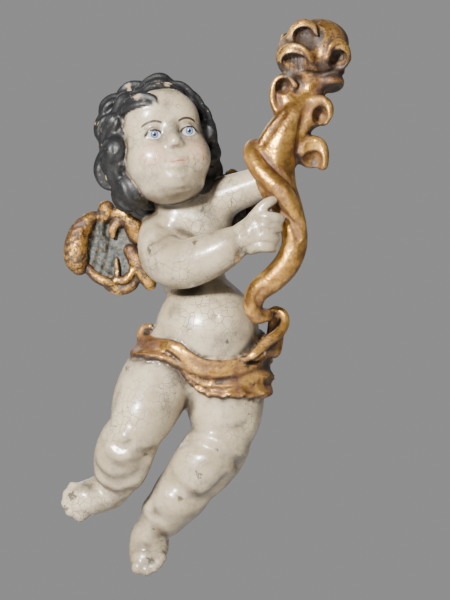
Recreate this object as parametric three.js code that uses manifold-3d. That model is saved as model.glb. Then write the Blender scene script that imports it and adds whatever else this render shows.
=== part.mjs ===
// A carved and painted wooden putto that hangs on a wall and holds up a gilded horn of plenty.
// Millimetres, +Z up. The wall is the plane y = 0 and the figure flies in front of it, towards -Y.
// The origin is the middle of the flat patch on the back, between the wings, where the work meets the wall.
// Left and right are the putto's own: its right arm and right wing are on the -X side.
import * as THREE from "three";
import { mergeVertices } from "three/addons/utils/BufferGeometryUtils.js";
import Module from "manifold-3d";

const wasm = await Module();
wasm.setup();

// Driving dimensions. Every station below is written for this height, toe tip to the top of the horn.
const DRAWN_HEIGHT = 415;
const OVERALL_HEIGHT = 415;
const GLUE_GAP = 0.3; // clearance where two separately carved pieces meet
const WALL_REACH = 300; // half the side of the block that trims everything behind the wall plane

// How finely each kind of form is faceted.
const FACETS = {
  torso: { sides: 12, rings: 9, caps: 1 },
  leg: { sides: 9, rings: 12, caps: 1 },
  arm: { sides: 8, rings: 8, caps: 1 },
  foot: { sides: 6, rings: 2, caps: 1 },
  digit: { sides: 5, rings: 2, caps: 1 },
  toe: { sides: 4, rings: 1, caps: 1 },
  lock: { sides: 4, rings: 3, caps: 1 },
  horn: { sides: 9, rings: 18, caps: 1 },
  band: { sides: 6, rings: 9, caps: 1 },
  scroll: { sides: 5, rings: 6, caps: 1 },
  rim: { sides: 4, rings: 3, caps: 0 },
};

// Stations of a limb are [x, y, z, half width, half depth]; without a half depth the section is round.
const TORSO = [
  [10, -36, -104, 31, 27],
  [12, -36, -91, 39, 33],
  [12, -37, -74, 40, 35],
  [12, -33, -57, 30, 30],
  [7.5, -30, -46, 23.5, 25],
  [1, -29, -24, 26, 28],
  [-2, -29, -2, 30.5, 30],
  [-1, -30, 12, 31, 30],
  [-6, -34, 26, 22, 20],
  [-10, -40, 38, 16, 16],
];
// The legs are plump: the half width drops and swells again at each roll of fat.
const RIGHT_LEG = [
  [-13, -36, -93, 24],
  [-23, -42, -106, 27],
  [-31, -51, -121, 27],
  [-35, -58, -136, 23.5],
  [-39.5, -61, -145, 20],
  [-48, -60, -158, 22.5],
  [-51.5, -57, -169, 19],
  [-53, -52, -178, 19],
  [-58, -46, -187, 14],
  [-63, -42, -195, 14.5],
];
const LEFT_LEG = [
  [25, -36, -98, 27],
  [27, -36, -117, 29],
  [26, -39, -138, 25.5],
  [23, -42, -150, 22],
  [18.5, -43, -161, 24],
  [8, -44, -174, 22],
  [0, -42, -186, 20.5],
  [-7, -38, -196, 19],
  [-14, -34, -205, 17],
  [-22, -31, -213, 16.5],
  [-29, -27, -222, 13.5],
  [-33, -24, -230, 13.5],
];
// A foot runs from ankle to toes; `across` is half its width, pointing away from the big toe.
const RIGHT_FOOT = { ankle: [-64, -42, -196], toes: [-89, -46, -200], across: [-2, -4, 13], thick: 9 };
const LEFT_FOOT = { ankle: [-31, -23, -231], toes: [-37, -30, -251], across: [13, 1, -3], thick: 9 };

const RIGHT_ARM = [
  [-22, -34, 5, 17],
  [-24, -48, -6, 18],
  [-18, -63, -18, 19.5],
  [-5, -73, -22, 19],
  [9, -80, -18.5, 17.5],
  [22, -85, -13, 15.5],
  [31, -87.5, -8, 13],
  [37, -88.5, -5, 11.5],
  [43.5, -89, -1, 12.5],
  [51, -90, 3, 11],
];
const LEFT_ARM = [
  [12, -33, 20, 19],
  [27, -37, 29.5, 15.5],
  [43, -41, 35.5, 13.5],
  [57, -44, 42, 12.5],
  [69, -47, 57, 11],
  [76, -50, 74, 9.5],
];
const FINGER = 4; // half thickness of a finger at its root

const HEAD_AT = [-20.5, -52, 64];
const SKULL = [32.5, 35, 40];
const HEAD_TURN = { lean: -7, turn: 17, lift: -12 }; // degrees: crown to its right, face to its left, chin up
// Swellings and hollows of a plain child's face: [degrees to its left, degrees up, height, spread].
const FACE = [
  [-36, -24, 4.5, 20],
  [36, -24, 4.5, 20],
  [0, -54, 4, 15],
  [0, 32, 2, 28],
  [-23, 5, -3, 10],
  [23, 5, -3, 10],
  [0, -2, 3.5, 7],
  [0, -14, 3, 7],
  [0, -36, -1.5, 8],
];

// The horn, from the knob of its curled tail up to the neck under the crown of leaves.
const HORN = [
  [57, -66, -60, 5.5],
  [50, -68, -60, 6.5],
  [47, -69, -52, 7.5],
  [51, -71, -42, 8.5],
  [62, -74, -33, 9.5],
  [72, -77, -22, 10],
  [77.5, -79, -8, 9.5],
  [76.5, -80, 6, 10],
  [72, -79, 20, 11.5],
  [65.5, -78, 33, 14.5],
  [63, -77, 46, 17],
  [66, -75, 60, 18.5],
  [70, -73, 73, 17.5],
  [76, -71, 86, 15],
  [83, -69, 98, 13],
  [89, -67, 109, 13],
  [90, -66, 120, 16],
];
// A long leaf that winds down round the horn and dies into its lower bend.
const BAND = [
  [53, -63, 66, 5],
  [47, -74, 64, 6.5],
  [46.5, -83, 58, 7],
  [50.5, -89, 49, 7],
  [57, -92.5, 41, 8],
  [67, -94, 31, 8],
  [75, -91, 20, 7],
  [81, -85, 9, 5],
];
// Leaf tips that spring from the horn and roll over: an arc of `from` to `to` degrees, 0 towards +X.
const SCROLLS = [
  { at: [89, -72, 60], radius: 8.5, from: 175, to: -110, thick: 4, half: 8 },
  { at: [95, -70, 91], radius: 8.5, from: 175, to: -105, thick: 4, half: 8 },
  { at: [69, -73, 104], radius: 7, from: 300, to: 30, thick: 4, half: 8 },
];
const CROWN = {
  at: [90.5, -65, 134],
  wide: 25.5,
  tall: 27,
  petals: 5,
  rows: [
    { foot: -15, reach: 22.5, height: 14 },
    { foot: 3, reach: 23.5, height: 15 },
  ],
};

// The wings are dished shells with rolled, scalloped rims.
// Lobes are feather tips: [degrees, extra reach, spread], 0 towards the tip side and 90 up.
const WING = {
  at: [-64, -8, -11],
  reach: 25,
  thick: 5,
  rim: 7,
  ribs: 5,
  lobes: [
    [90, 11, 15],
    [135, 3, 20],
    [172, 8, 22],
    [205, 7, 18],
    [270, 6, 17],
    [300, 11, 16],
    [335, 18, 20],
    [10, 10, 26],
    [60, 7, 17],
  ],
};

const DEPTH = new THREE.Vector3(0, 1, 0);
const UP = new THREE.Vector3(0, 0, 1);
const radians = THREE.MathUtils.degToRad;
const vector = (p) => new THREE.Vector3(p[0], p[1], p[2]);
const hump = (distance, spread) => Math.exp(-((distance / spread) ** 2));

// Turns a closed three.js geometry into a solid that can be joined and cut.
function solid(geometry) {
  const bare = geometry.clone();
  bare.deleteAttribute("normal");
  bare.deleteAttribute("uv");
  const merged = mergeVertices(bare, 1e-4);
  const triVerts = new Uint32Array(merged.index.array);
  const vertProperties = merged.attributes.position.array;
  const made = new wasm.Manifold(new wasm.Mesh({ numProp: 3, vertProperties, triVerts }));
  if (made.volume() > 0) return made;
  const turned = triVerts.map((_, i) => triVerts[i - (i % 3) + [0, 2, 1][i % 3]]);
  return new wasm.Manifold(new wasm.Mesh({ numProp: 3, vertProperties, triVerts: turned }));
}

const join = (solids) => solids.reduce((all, next) => all.add(next));

// The one outer body of a shape: sealed hollows are filled and chips cut loose are dropped.
function oneBody(shape) {
  return shape.decompose().sort((a, b) => b.volume() - a.volume())[0];
}

// Closes a row of rings of points into a solid, with a point at each end.
function skin(first, rings, last) {
  const sides = rings[0].length;
  const points = [first, ...rings.flat(), last];
  const faces = [];
  for (let k = 0; k < sides; k++) {
    const next = (k + 1) % sides;
    faces.push(0, 1 + next, 1 + k);
    for (let r = 0; r + 1 < rings.length; r++) {
      const low = 1 + r * sides;
      const high = low + sides;
      faces.push(low + k, low + next, high + k);
      faces.push(low + next, high + next, high + k);
    }
    const top = 1 + (rings.length - 1) * sides;
    faces.push(points.length - 1, top + k, top + next);
  }
  const geometry = new THREE.BufferGeometry().setFromPoints(points);
  geometry.setIndex(faces);
  return solid(geometry);
}

// A limb: sections swept along the smooth curve through the stations, with rounded ends.
function limb(stations, { sides, rings, caps }, grow = 0, reference = DEPTH) {
  const path = new THREE.CatmullRomCurve3(stations.map(vector), false, "centripetal");
  const girth = new THREE.CatmullRomCurve3(
    stations.map(([, , , a, b]) => new THREE.Vector3(a + grow, (b ?? a) + grow, 0)),
  );
  const at = (along, quarter) => {
    const tangent = path.getTangent(along);
    const size = girth.getPoint(along);
    const side = new THREE.Vector3().crossVectors(tangent, reference).normalize();
    const front = new THREE.Vector3().crossVectors(side, tangent).normalize();
    const reach = Math.sin(quarter) * Math.min(size.x, size.y);
    const centre = path.getPoint(along).addScaledVector(tangent, reach);
    const ring = [];
    for (let k = 0; k < sides; k++) {
      const turn = (k / sides) * 2 * Math.PI;
      const across = size.x * Math.cos(quarter) * Math.cos(turn);
      const deep = size.y * Math.cos(quarter) * Math.sin(turn);
      ring.push(centre.clone().addScaledVector(side, across).addScaledVector(front, deep));
    }
    return { centre, ring };
  };
  const step = Math.PI / 2 / (caps + 1);
  const made = [];
  for (let c = caps; c > 0; c--) made.push(at(0, -c * step).ring);
  for (let r = 0; r <= rings; r++) made.push(at(r / rings, 0).ring);
  for (let c = 1; c <= caps; c++) made.push(at(1, c * step).ring);
  return skin(at(0, -Math.PI / 2).centre, made, at(1, Math.PI / 2).centre);
}

// A sphere whose radii follow a rule of the direction; its poles are on the Z axis.
function formed(sides, rings, rule) {
  const geometry = new THREE.SphereGeometry(1, sides, rings).rotateX(Math.PI / 2);
  const position = geometry.attributes.position;
  const v = new THREE.Vector3();
  for (let i = 0; i < position.count; i++) {
    v.fromBufferAttribute(position, i).normalize();
    const moved = rule(v);
    position.setXYZ(i, moved.x, moved.y, moved.z);
  }
  return geometry;
}

// Everything in front of the wall plane is kept.
function trimmedAtWall(shape) {
  const block = new THREE.BoxGeometry(2 * WALL_REACH, WALL_REACH, 2 * WALL_REACH);
  return shape.subtract(solid(block.translate(0, WALL_REACH / 2, 0)));
}

// A foot: a flattened limb from ankle to ball, a heel, and five toes fanned across its end.
function foot({ ankle, toes, across, thick }, grow) {
  const from = vector(ankle);
  const to = vector(toes);
  const half = vector(across);
  const width = half.length();
  const ball = from.clone().lerp(to, 0.75);
  const sole = new THREE.Vector3().crossVectors(half, to.clone().sub(from)).normalize();
  const stations = [
    [...from.toArray(), width * 0.85, thick * 1.3],
    [...from.clone().lerp(to, 0.4).toArray(), width * 0.9, thick * 1.1],
    [...ball.toArray(), width, thick * 0.9],
  ];
  const heel = from.clone().lerp(to, -0.3).addScaledVector(DEPTH, thick * 0.4);
  const pieces = [
    limb(stations, FACETS.foot, grow, sole),
    limb([[...heel.toArray(), width * 0.7], [...from.toArray(), width * 0.8]], FACETS.foot, grow),
  ];
  for (let i = 0; i < 5; i++) {
    const spread = i / 2 - 1; // -1 at the big toe, 1 at the little one
    const radius = (i === 0 ? 0.34 : 0.26 - 0.015 * i) * width;
    const root = ball.clone().addScaledVector(half, spread * 0.76);
    const tip = root.clone().addScaledVector(to.clone().sub(from), 0.5 - 0.05 * i);
    pieces.push(limb([[...root.toArray(), radius], [...tip.toArray(), radius]], FACETS.toe, grow));
  }
  return join(pieces);
}

// Digits given by their root, knuckle and tip.
function digits(list, grow) {
  return list.map(([root, knuckle, tip]) =>
    limb([[...root, FINGER], [...knuckle, FINGER * 0.95], [...tip, FINGER * 0.8]], FACETS.digit, grow),
  );
}

// The right hand lies across the front of the horn, its fingers one above the other.
function rightHand(grow) {
  const fingers = [0, 1, 2, 3].map((i) => [
    [51 - i, -95 + i, 11.5 - 7 * i],
    [58 - i, -100 + i, 12 - 7 * i],
    [67 - 1.6 * i, -96 + i, 11 - 7 * i],
  ]);
  const thumb = [[47, -91, 9], [53, -96, 18], [61, -96, 24]];
  return join(digits([...fingers, thumb], grow));
}

// The left hand holds the horn from behind.
function leftHand(grow) {
  const fingers = [0, 1, 2, 3].map((i) => [
    [74 + i, -49, 64 + 6.5 * i],
    [80 + i, -52, 65 + 6.5 * i],
    [83 + i, -59, 66 + 6.5 * i],
  ]);
  const palm = limb([[74, -49, 68, 9, 7], [77, -50, 84, 10, 7]], FACETS.foot, grow);
  return join([palm, ...digits(fingers, grow)]);
}

const HEAD_FRAME = new THREE.Matrix4()
  .makeTranslation(...HEAD_AT)
  .multiply(new THREE.Matrix4().makeRotationY(radians(HEAD_TURN.lean)))
  .multiply(new THREE.Matrix4().makeRotationZ(radians(HEAD_TURN.turn)))
  .multiply(new THREE.Matrix4().makeRotationX(radians(HEAD_TURN.lift)));

// A point of the head's own frame from degrees to its left of the nose, degrees up, and a distance share.
function onHead(left, up, share) {
  const flat = Math.cos(radians(up)) * share;
  return new THREE.Vector3(
    SKULL[0] * flat * Math.sin(radians(left)),
    -SKULL[1] * flat * Math.cos(radians(left)),
    SKULL[2] * Math.sin(radians(up)) * share,
  );
}

function lockStations(points) {
  return points.map(([left, up, share, radius]) => [
    ...onHead(left, up, share).applyMatrix4(HEAD_FRAME).toArray(),
    radius,
  ]);
}

// Skull and face, with a snub nose and closed lips added to it.
function head(grow) {
  const skull = formed(15, 12, (v) => {
    const left = THREE.MathUtils.radToDeg(Math.atan2(v.x, -v.y));
    const up = THREE.MathUtils.radToDeg(Math.asin(v.z));
    const rise = FACE.reduce((sum, [l, u, height, spread]) => {
      const turn = THREE.MathUtils.euclideanModulo(left - l + 180, 360) - 180;
      return sum + height * hump(Math.hypot(turn * Math.cos(radians(up)), up - u), spread);
    }, grow);
    return new THREE.Vector3(...v.toArray().map((c, k) => c * (SKULL[k] + rise)));
  }).applyMatrix4(HEAD_FRAME);
  const features = [
    [[0, 2, 1.06, 2.4], [0, -9, 1.14, 3.4]],
    [[-6, -11, 1.06, 2.2], [6, -11, 1.06, 2.2]],
    [[-10, -24, 1.04, 1.7], [0, -25, 1.1, 2.4], [10, -24, 1.04, 1.7]],
    [[-88, 8, 1, 3.6], [-92, -8, 1.02, 3.2]],
    [[88, 8, 1, 3.6], [92, -8, 1.02, 3.2]],
  ].map((points) => limb(lockStations(points), FACETS.digit, grow));
  return join([solid(skull), ...features]);
}

// Thick wavy locks: a fringe, a ring over the ears and a ring down to the nape, all round but for the face.
function hair(grow) {
  const cap = formed(12, 10, (v) => {
    const reach = [5 + grow, 3 + grow, 4 + grow];
    return new THREE.Vector3(...v.toArray().map((c, k) => c * (SKULL[k] + reach[k])));
  });
  const parts = [solid(cap.translate(-2, 9, 5).applyMatrix4(HEAD_FRAME))];
  const wavy = (left, top, bottom, out, thick) => {
    const points = [0, 1, 2, 3].map((s) => [
      left + 7 * Math.sin(2.2 * s + left),
      THREE.MathUtils.lerp(top, bottom, s / 3),
      out + 0.05 * Math.sin(1.9 * s + left),
      thick * (0.85 + 0.25 * Math.sin(2.6 * s + left)),
    ]);
    parts.push(limb(lockStations(points), FACETS.lock, grow));
  };
  for (let left = -64; left <= 64; left += 32) wavy(left, 80, left < 0 ? 46 : 52, 1.1, 7);
  for (const left of [80, 112, 152, 200, 242, 276]) wavy(left, 58, 8, left > 200 ? 1.26 : 1.15, 10);
  for (const left of [74, 104, 140, 184, 226, 258, 284]) {
    wavy(left, 12, left > 200 ? -50 : -36, left > 200 ? 1.3 : 1.15, 10);
  }
  for (let side = -1; side <= 1; side += 1) wavy(-6 + 16 * side, 62, 92, 1.2, 5);
  return join(parts);
}

// The loincloth: one swag of cloth round the hips: a rolled top edge, a groove, a ridge and a ruffled hem.
// It is narrow on the right hip and widest on the left one, where the hem stands off the thigh.
// Section points are [lift off the body, drop], the drop as a share of the cloth's width there.
const CLOTH_SECTION = [
  [-8, 0.06],
  [3, -0.1],
  [7, 0.08],
  [2, 0.3],
  [5.5, 0.5],
  [2.5, 0.68],
  [8, 0.94],
  [-8, 0.96],
];
// Along the cloth: [degrees round the hips from +X, top, hem, how far the hem flares].
const CLOTH_RUN = [
  [-205, -70, -84, 0],
  [-170, -69, -83, 4],
  [-138, -78, -93, 3],
  [-108, -92, -114, 2],
  [-75, -96, -119, 3],
  [-45, -89, -121, 6],
  [-18, -76, -119, 12],
  [5, -70, -108, 11],
  [35, -68, -96, 4],
  [90, -68, -90, 0],
  [160, -70, -86, 0],
];
const CLOTH_STEPS = 18;
const RUFFLE = 2.4;

// The row of a table at a value of its first column, by straight interpolation.
function rowAt(table, value, column = 0) {
  let i = 1;
  while (i < table.length - 1 && table[i][column] < value) i++;
  const low = table[i - 1];
  const share = THREE.MathUtils.clamp((value - low[column]) / (table[i][column] - low[column]), 0, 1);
  return table[i].map((cell, k) => THREE.MathUtils.lerp(low[k], cell, share));
}

function loincloth(grow) {
  const rings = [];
  for (let s = 0; s <= CLOTH_STEPS; s++) {
    const turn = -205 + (s / CLOTH_STEPS) * 365;
    const [, top, hem, flare] = rowAt(CLOTH_RUN, turn);
    rings.push(
      CLOTH_SECTION.map(([lift, drop], k) => {
        const height = top - drop * (top - hem) - (drop > 0.9 ? grow : drop < 0 ? -grow : 0);
        const [cx, cy, , wide, deep] = rowAt(TORSO, height, 2);
        const wave = k > 4 && k < 7 ? RUFFLE * Math.sin(s * 2.1) : 0;
        const out = lift + grow + wave + flare * drop;
        return new THREE.Vector3(
          cx + (wide + out) * Math.cos(radians(turn)),
          cy + (deep + out) * Math.sin(radians(turn)),
          height,
        );
      }),
    );
  }
  const middle = (ring) => ring.reduce((sum, p) => sum.add(p), new THREE.Vector3()).divideScalar(ring.length);
  const band = skin(middle(rings[0]), rings, middle(rings[rings.length - 1]));
  const looseEnd = [
    [55, -60, -88, 8, 6],
    [64, -57, -76, 8, 6],
    [69, -54, -64, 6, 6],
    [68, -53, -56, 4.5, 6],
    [62, -54, -54, 4, 5],
  ];
  return join([band, limb(looseEnd, FACETS.lock, grow)]);
}

function figure(grow = 0) {
  return join([
    limb(TORSO, FACETS.torso, grow),
    limb(RIGHT_LEG, FACETS.leg, grow),
    limb(LEFT_LEG, FACETS.leg, grow),
    foot(RIGHT_FOOT, grow),
    foot(LEFT_FOOT, grow),
    limb(RIGHT_ARM, FACETS.arm, grow, UP),
    limb(LEFT_ARM, FACETS.arm, grow),
    rightHand(grow),
    leftHand(grow),
    head(grow),
    hair(grow),
    loincloth(grow),
  ]);
}

// A leaf tip rolled over: a thick rim bent round a shallow hollow.
function scroll({ at, radius, from, to, thick, half }, grow) {
  const [x, y, z] = at;
  const stations = [0, 1, 2, 3, 4, 5].map((s) => {
    const turn = radians(THREE.MathUtils.lerp(from, to, s / 5));
    const shrink = 1 - 0.05 * s;
    return [x + radius * shrink * Math.cos(turn), y, z + radius * shrink * Math.sin(turn), thick, half];
  });
  const floor = new THREE.SphereGeometry(radius + grow, 6, 5).scale(1, 0.6, 1).translate(x, y + 3, z);
  return limb(stations, FACETS.scroll, grow).add(solid(floor));
}

// The crown of the horn: a lumpy cup with staggered rows of petals, each an arched rim over a hollow.
function crown(grow) {
  const { at, wide, tall, petals, rows } = CROWN;
  const [x, y, z] = at;
  const cup = formed(10, 7, (v) => {
    const flat = Math.hypot(v.x, v.y);
    const body = (wide + grow) * (flat ? flat ** 0.75 / flat : 0);
    return new THREE.Vector3(x + body * v.x, y + body * v.y, z + v.z * (tall + grow));
  });
  const parts = [solid(cup)];
  rows.forEach(({ foot, reach, height }, row) => {
    for (let i = 0; i < petals; i++) {
      const middle = ((i + row / 2) / petals) * 2 * Math.PI - 1.9;
      const stations = [0, 1, 2, 3, 4].map((s) => {
        const arc = (Math.PI * s) / 4;
        const turn = middle + (Math.cos(arc) * 0.82 * Math.PI) / petals;
        const out = reach + 2.5 * Math.sin(arc);
        return [x + out * Math.cos(turn), y + out * Math.sin(turn), z + foot + height * Math.sin(arc), 3];
      });
      parts.push(limb(stations, FACETS.rim, grow, new THREE.Vector3(0.01, 0.02, 1)));
    }
  });
  return join(parts);
}

function horn(grow = 0) {
  return join([
    limb(HORN, FACETS.horn, grow),
    limb(BAND, FACETS.band, grow),
    crown(grow),
    ...SCROLLS.map((leaf) => scroll(leaf, grow)),
  ]);
}

// A wing with its centre at `at`; side is 1 with the tip towards -X, -1 with the tip towards +X.
function wing(at, side, size) {
  const { reach, thick, rim, ribs, lobes } = WING;
  const geometry = formed(22, 7, (v) => v);
  geometry.rotateX(Math.PI / 2); // poles to the front and the back
  const position = geometry.attributes.position;
  const v = new THREE.Vector3();
  for (let i = 0; i < position.count; i++) {
    v.fromBufferAttribute(position, i);
    const turn = Math.atan2(v.z, v.x);
    const degrees = THREE.MathUtils.radToDeg(turn);
    const tips = lobes.reduce((sum, [d, extra, spread]) => {
      const off = THREE.MathUtils.euclideanModulo(degrees - d + 180, 360) - 180;
      return sum + extra * hump(off, spread);
    }, 0);
    const share = Math.min(1, Math.acos(THREE.MathUtils.clamp(Math.abs(v.y), 0, 1)) / (Math.PI / 2));
    const out = (reach + tips) * share;
    const edge = 1 - share ** 8;
    const roll = rim * hump(share - 0.8, 0.17);
    const rib = share < 0.7 ? 1.4 * Math.cos(ribs * (turn + 0.5)) * share : 0;
    const front = (thick + roll + rib) * edge;
    const back = thick * 0.8 * edge;
    position.setXYZ(i, side * out * Math.cos(turn), v.y < 0 ? -front : back, out * Math.sin(turn));
  }
  geometry.scale(size, 1, size).translate(...at);
  const [x, y, z] = at;
  const root = [
    [x + side * 14, y, z + 4, 16, 4.5],
    [x + side * 44, y - 1, z + 12, 15, 5],
  ];
  return solid(geometry).add(limb(root, FACETS.foot));
}

const GILT = { color: 0xb8863b, roughness: 0.4, metalness: 0.7 };
const FLESH = { color: 0xc4b8a2, roughness: 0.45, metalness: 0 };

// A named mesh from a finished solid.
function piece(name, made, finish) {
  const { vertProperties, triVerts, numProp } = made.getMesh();
  const points = new Float32Array((vertProperties.length / numProp) * 3);
  for (let i = 0; i < points.length / 3; i++) {
    points.set(vertProperties.subarray(i * numProp, i * numProp + 3), i * 3);
  }
  const geometry = new THREE.BufferGeometry();
  geometry.setAttribute("position", new THREE.BufferAttribute(points, 3));
  geometry.setIndex(new THREE.BufferAttribute(triVerts, 1));
  geometry.computeVertexNormals();
  const mesh = new THREE.Mesh(geometry, new THREE.MeshStandardMaterial(finish));
  mesh.name = name;
  return mesh;
}

const group = new THREE.Group();
const puttoGrown = oneBody(figure(GLUE_GAP));
const hornGrown = oneBody(horn(GLUE_GAP));
group.add(piece("putto", oneBody(trimmedAtWall(figure()).subtract(hornGrown)), FLESH));
group.add(piece("horn_of_plenty", oneBody(horn()), GILT));
const wings = {
  wing_right: wing(WING.at, 1, 1),
  wing_left: wing([31, -7, 19], -1, 0.85),
};
for (const [name, shape] of Object.entries(wings)) {
  const cut = trimmedAtWall(shape).subtract(puttoGrown).subtract(hornGrown);
  group.add(piece(name, oneBody(cut), GILT));
}
group.scale.setScalar(OVERALL_HEIGHT / DRAWN_HEIGHT);

export default group;
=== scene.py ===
# Wall-hung putto with a horn of plenty: carved wood, painted flesh, black hair, worn gilding.
# Shapes are modelled as distance fields in millimetres, skinned once, and given procedural finishes.
import math
import time

import bpy
import numpy as np
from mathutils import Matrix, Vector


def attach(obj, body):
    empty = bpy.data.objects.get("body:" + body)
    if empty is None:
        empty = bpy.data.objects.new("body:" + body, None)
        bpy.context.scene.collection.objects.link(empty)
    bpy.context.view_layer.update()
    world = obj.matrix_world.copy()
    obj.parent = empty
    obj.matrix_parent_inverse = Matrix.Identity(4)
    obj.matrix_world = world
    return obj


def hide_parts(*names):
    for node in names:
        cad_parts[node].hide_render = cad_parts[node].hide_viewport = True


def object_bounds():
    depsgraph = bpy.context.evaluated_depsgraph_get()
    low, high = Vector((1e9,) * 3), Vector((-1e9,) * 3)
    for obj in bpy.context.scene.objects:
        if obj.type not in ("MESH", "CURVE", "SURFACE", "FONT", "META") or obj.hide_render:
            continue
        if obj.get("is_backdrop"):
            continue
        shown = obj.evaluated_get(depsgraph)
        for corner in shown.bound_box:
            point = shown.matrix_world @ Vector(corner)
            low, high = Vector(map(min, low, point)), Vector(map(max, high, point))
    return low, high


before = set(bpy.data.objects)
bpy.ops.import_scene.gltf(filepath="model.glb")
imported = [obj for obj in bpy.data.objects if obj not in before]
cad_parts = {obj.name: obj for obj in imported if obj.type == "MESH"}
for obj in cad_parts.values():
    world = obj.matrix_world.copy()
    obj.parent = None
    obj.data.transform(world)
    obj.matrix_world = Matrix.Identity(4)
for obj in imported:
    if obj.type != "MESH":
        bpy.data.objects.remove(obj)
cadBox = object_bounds()
started = time.time()
mm = 0.001  # shapes are worked out in millimetres, the scene is in metres
farAway = 40.0  # what the empty clay says about its distance
margin = 10.0  # clay worked beyond a shape's own reach


def report(text):
    print(f"[{time.time() - started:5.1f} s] {text}")


# clay: a distance field on a grid that can be closer spaced where detail is needed
class Clay:
    everywhere = (slice(None),) * 3

    def __init__(self, axes):
        self.axes = axes
        self.field = np.full([len(a) for a in axes], farAway, np.float32)

    def block(self, low, high):
        cut = []
        for a, lo, hi in zip(self.axes, low, high):
            cut.append(slice(int(np.searchsorted(a, lo)), int(np.searchsorted(a, hi)) + 1))
        x, y, z = (a[c] for a, c in zip(self.axes, cut))
        return tuple(cut), (x[:, None, None], y[None, :, None], z[None, None, :])

    def add(self, cut, shape, blend):
        old = self.field[cut]
        if blend > 0:
            near = np.maximum(blend - np.abs(old - shape), 0) / blend
            self.field[cut] = np.minimum(old, shape) - near * near * blend * 0.25
        else:
            self.field[cut] = np.minimum(old, shape)

    def carve(self, cut, shape, blend):
        old = self.field[cut]
        near = np.maximum(blend - np.abs(old + shape), 0) / blend
        self.field[cut] = np.maximum(old, -shape) + near * near * blend * 0.25

    def sample(self, points):
        return sampleField(self.field, self.axes, points)


def sampleField(field, axes, points):
    spot, share = [], []
    for k in range(3):
        i = np.clip(np.searchsorted(axes[k], points[:, k]) - 1, 0, len(axes[k]) - 2)
        spot.append(i)
        share.append(np.clip((points[:, k] - axes[k][i]) / (axes[k][i + 1] - axes[k][i]), 0, 1))
    total = 0
    for dx in (0, 1):
        for dy in (0, 1):
            for dz in (0, 1):
                weight = 1
                for s, d in zip(share, (dx, dy, dz)):
                    weight = weight * (s if d else 1 - s)
                total = total + weight * field[spot[0] + dx, spot[1] + dy, spot[2] + dz]
    return total


def gridAxis(low, high, coarse, fineLow=None, fineHigh=None, fine=None):
    if fine is None:
        return np.arange(low, high + coarse, coarse)
    left = np.arange(fineLow, low - coarse, -coarse)[::-1]
    middle = np.arange(fineLow + fine, fineHigh, fine)
    right = np.arange(middle[-1] + coarse, high + coarse, coarse)
    return np.concatenate([left, middle, right])


def smoothPath(stations, steps):
    # Catmull-Rom through rows of numbers
    rows = np.array(stations, float)
    rows = np.vstack([2 * rows[0] - rows[1], rows, 2 * rows[-1] - rows[-2]])
    out = []
    spans = len(rows) - 3
    for s in range(steps + 1):
        t = s / steps * spans
        i = min(int(t), spans - 1)
        u = t - i
        a, b, c, d = rows[i:i + 4]
        out.append(0.5 * (2 * b + (c - a) * u + (2 * a - 5 * b + 4 * c - d) * u * u
                          + (3 * b - a - 3 * c + d) * u ** 3))
    return np.array(out)


def tube(clay, stations, blend=3.0, steps=None, flat=1.0, facing=(0, 1, 0), strands=None):
    # stations: x, y, z, radius. flat > 1 thins the section along `facing`; strands: count, depth, twist
    path = smoothPath(stations, steps or 4 * (len(stations) - 1))
    centre, radius = path[:, :3], np.maximum(path[:, 3], 0.4)
    most = radius.max() + blend + margin
    cut, (x, y, z) = clay.block(centre.min(0) - most, centre.max(0) + most)
    shape = np.full([x.shape[0], y.shape[1], z.shape[2]], farAway, np.float32)
    local = [x[:, 0, 0], y[0, :, 0], z[0, 0, :]]
    run = 0.0
    facing = np.array(facing, float)
    for i in range(len(centre) - 1):
        a, b = centre[i], centre[i + 1]
        along = b - a
        length = np.linalg.norm(along)
        if length < 1e-6:
            continue
        tangent = along / length
        side = np.cross(tangent, facing)
        side /= max(np.linalg.norm(side), 1e-6)
        deep = np.cross(side, tangent)
        big = max(radius[i], radius[i + 1]) + blend + margin
        low, high = np.minimum(a, b) - big, np.maximum(a, b) + big
        ends = [np.searchsorted(local[k], (low[k], high[k])) for k in range(3)]
        part = tuple(slice(int(lo), int(hi) + 1) for lo, hi in ends)
        px, py, pz = (p[s] for p, s in zip(local, part))
        px, py, pz = px[:, None, None] - a[0], py[None, :, None] - a[1], pz[None, None, :] - a[2]
        h = np.clip((px * along[0] + py * along[1] + pz * along[2]) / length ** 2, 0, 1)
        vx, vy, vz = px - h * along[0], py - h * along[1], pz - h * along[2]
        r = radius[i] + (radius[i + 1] - radius[i]) * h
        if flat == 1.0 and strands is None:
            d = np.sqrt(vx * vx + vy * vy + vz * vz) - r
        else:
            across = vx * side[0] + vy * side[1] + vz * side[2]
            inward = (vx * deep[0] + vy * deep[1] + vz * deep[2]) * flat
            lengthwise = vx * tangent[0] + vy * tangent[1] + vz * tangent[2]
            d = np.sqrt(across ** 2 + inward ** 2 + lengthwise ** 2) - r
            if strands:
                turn = np.arctan2(inward, across)
                d = d - strands[1] * np.cos(strands[0] * turn + strands[2] * (run + h * length))
        shape[part] = np.minimum(shape[part], d.astype(np.float32))
        run += length
    clay.add(cut, shape, blend)


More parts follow.
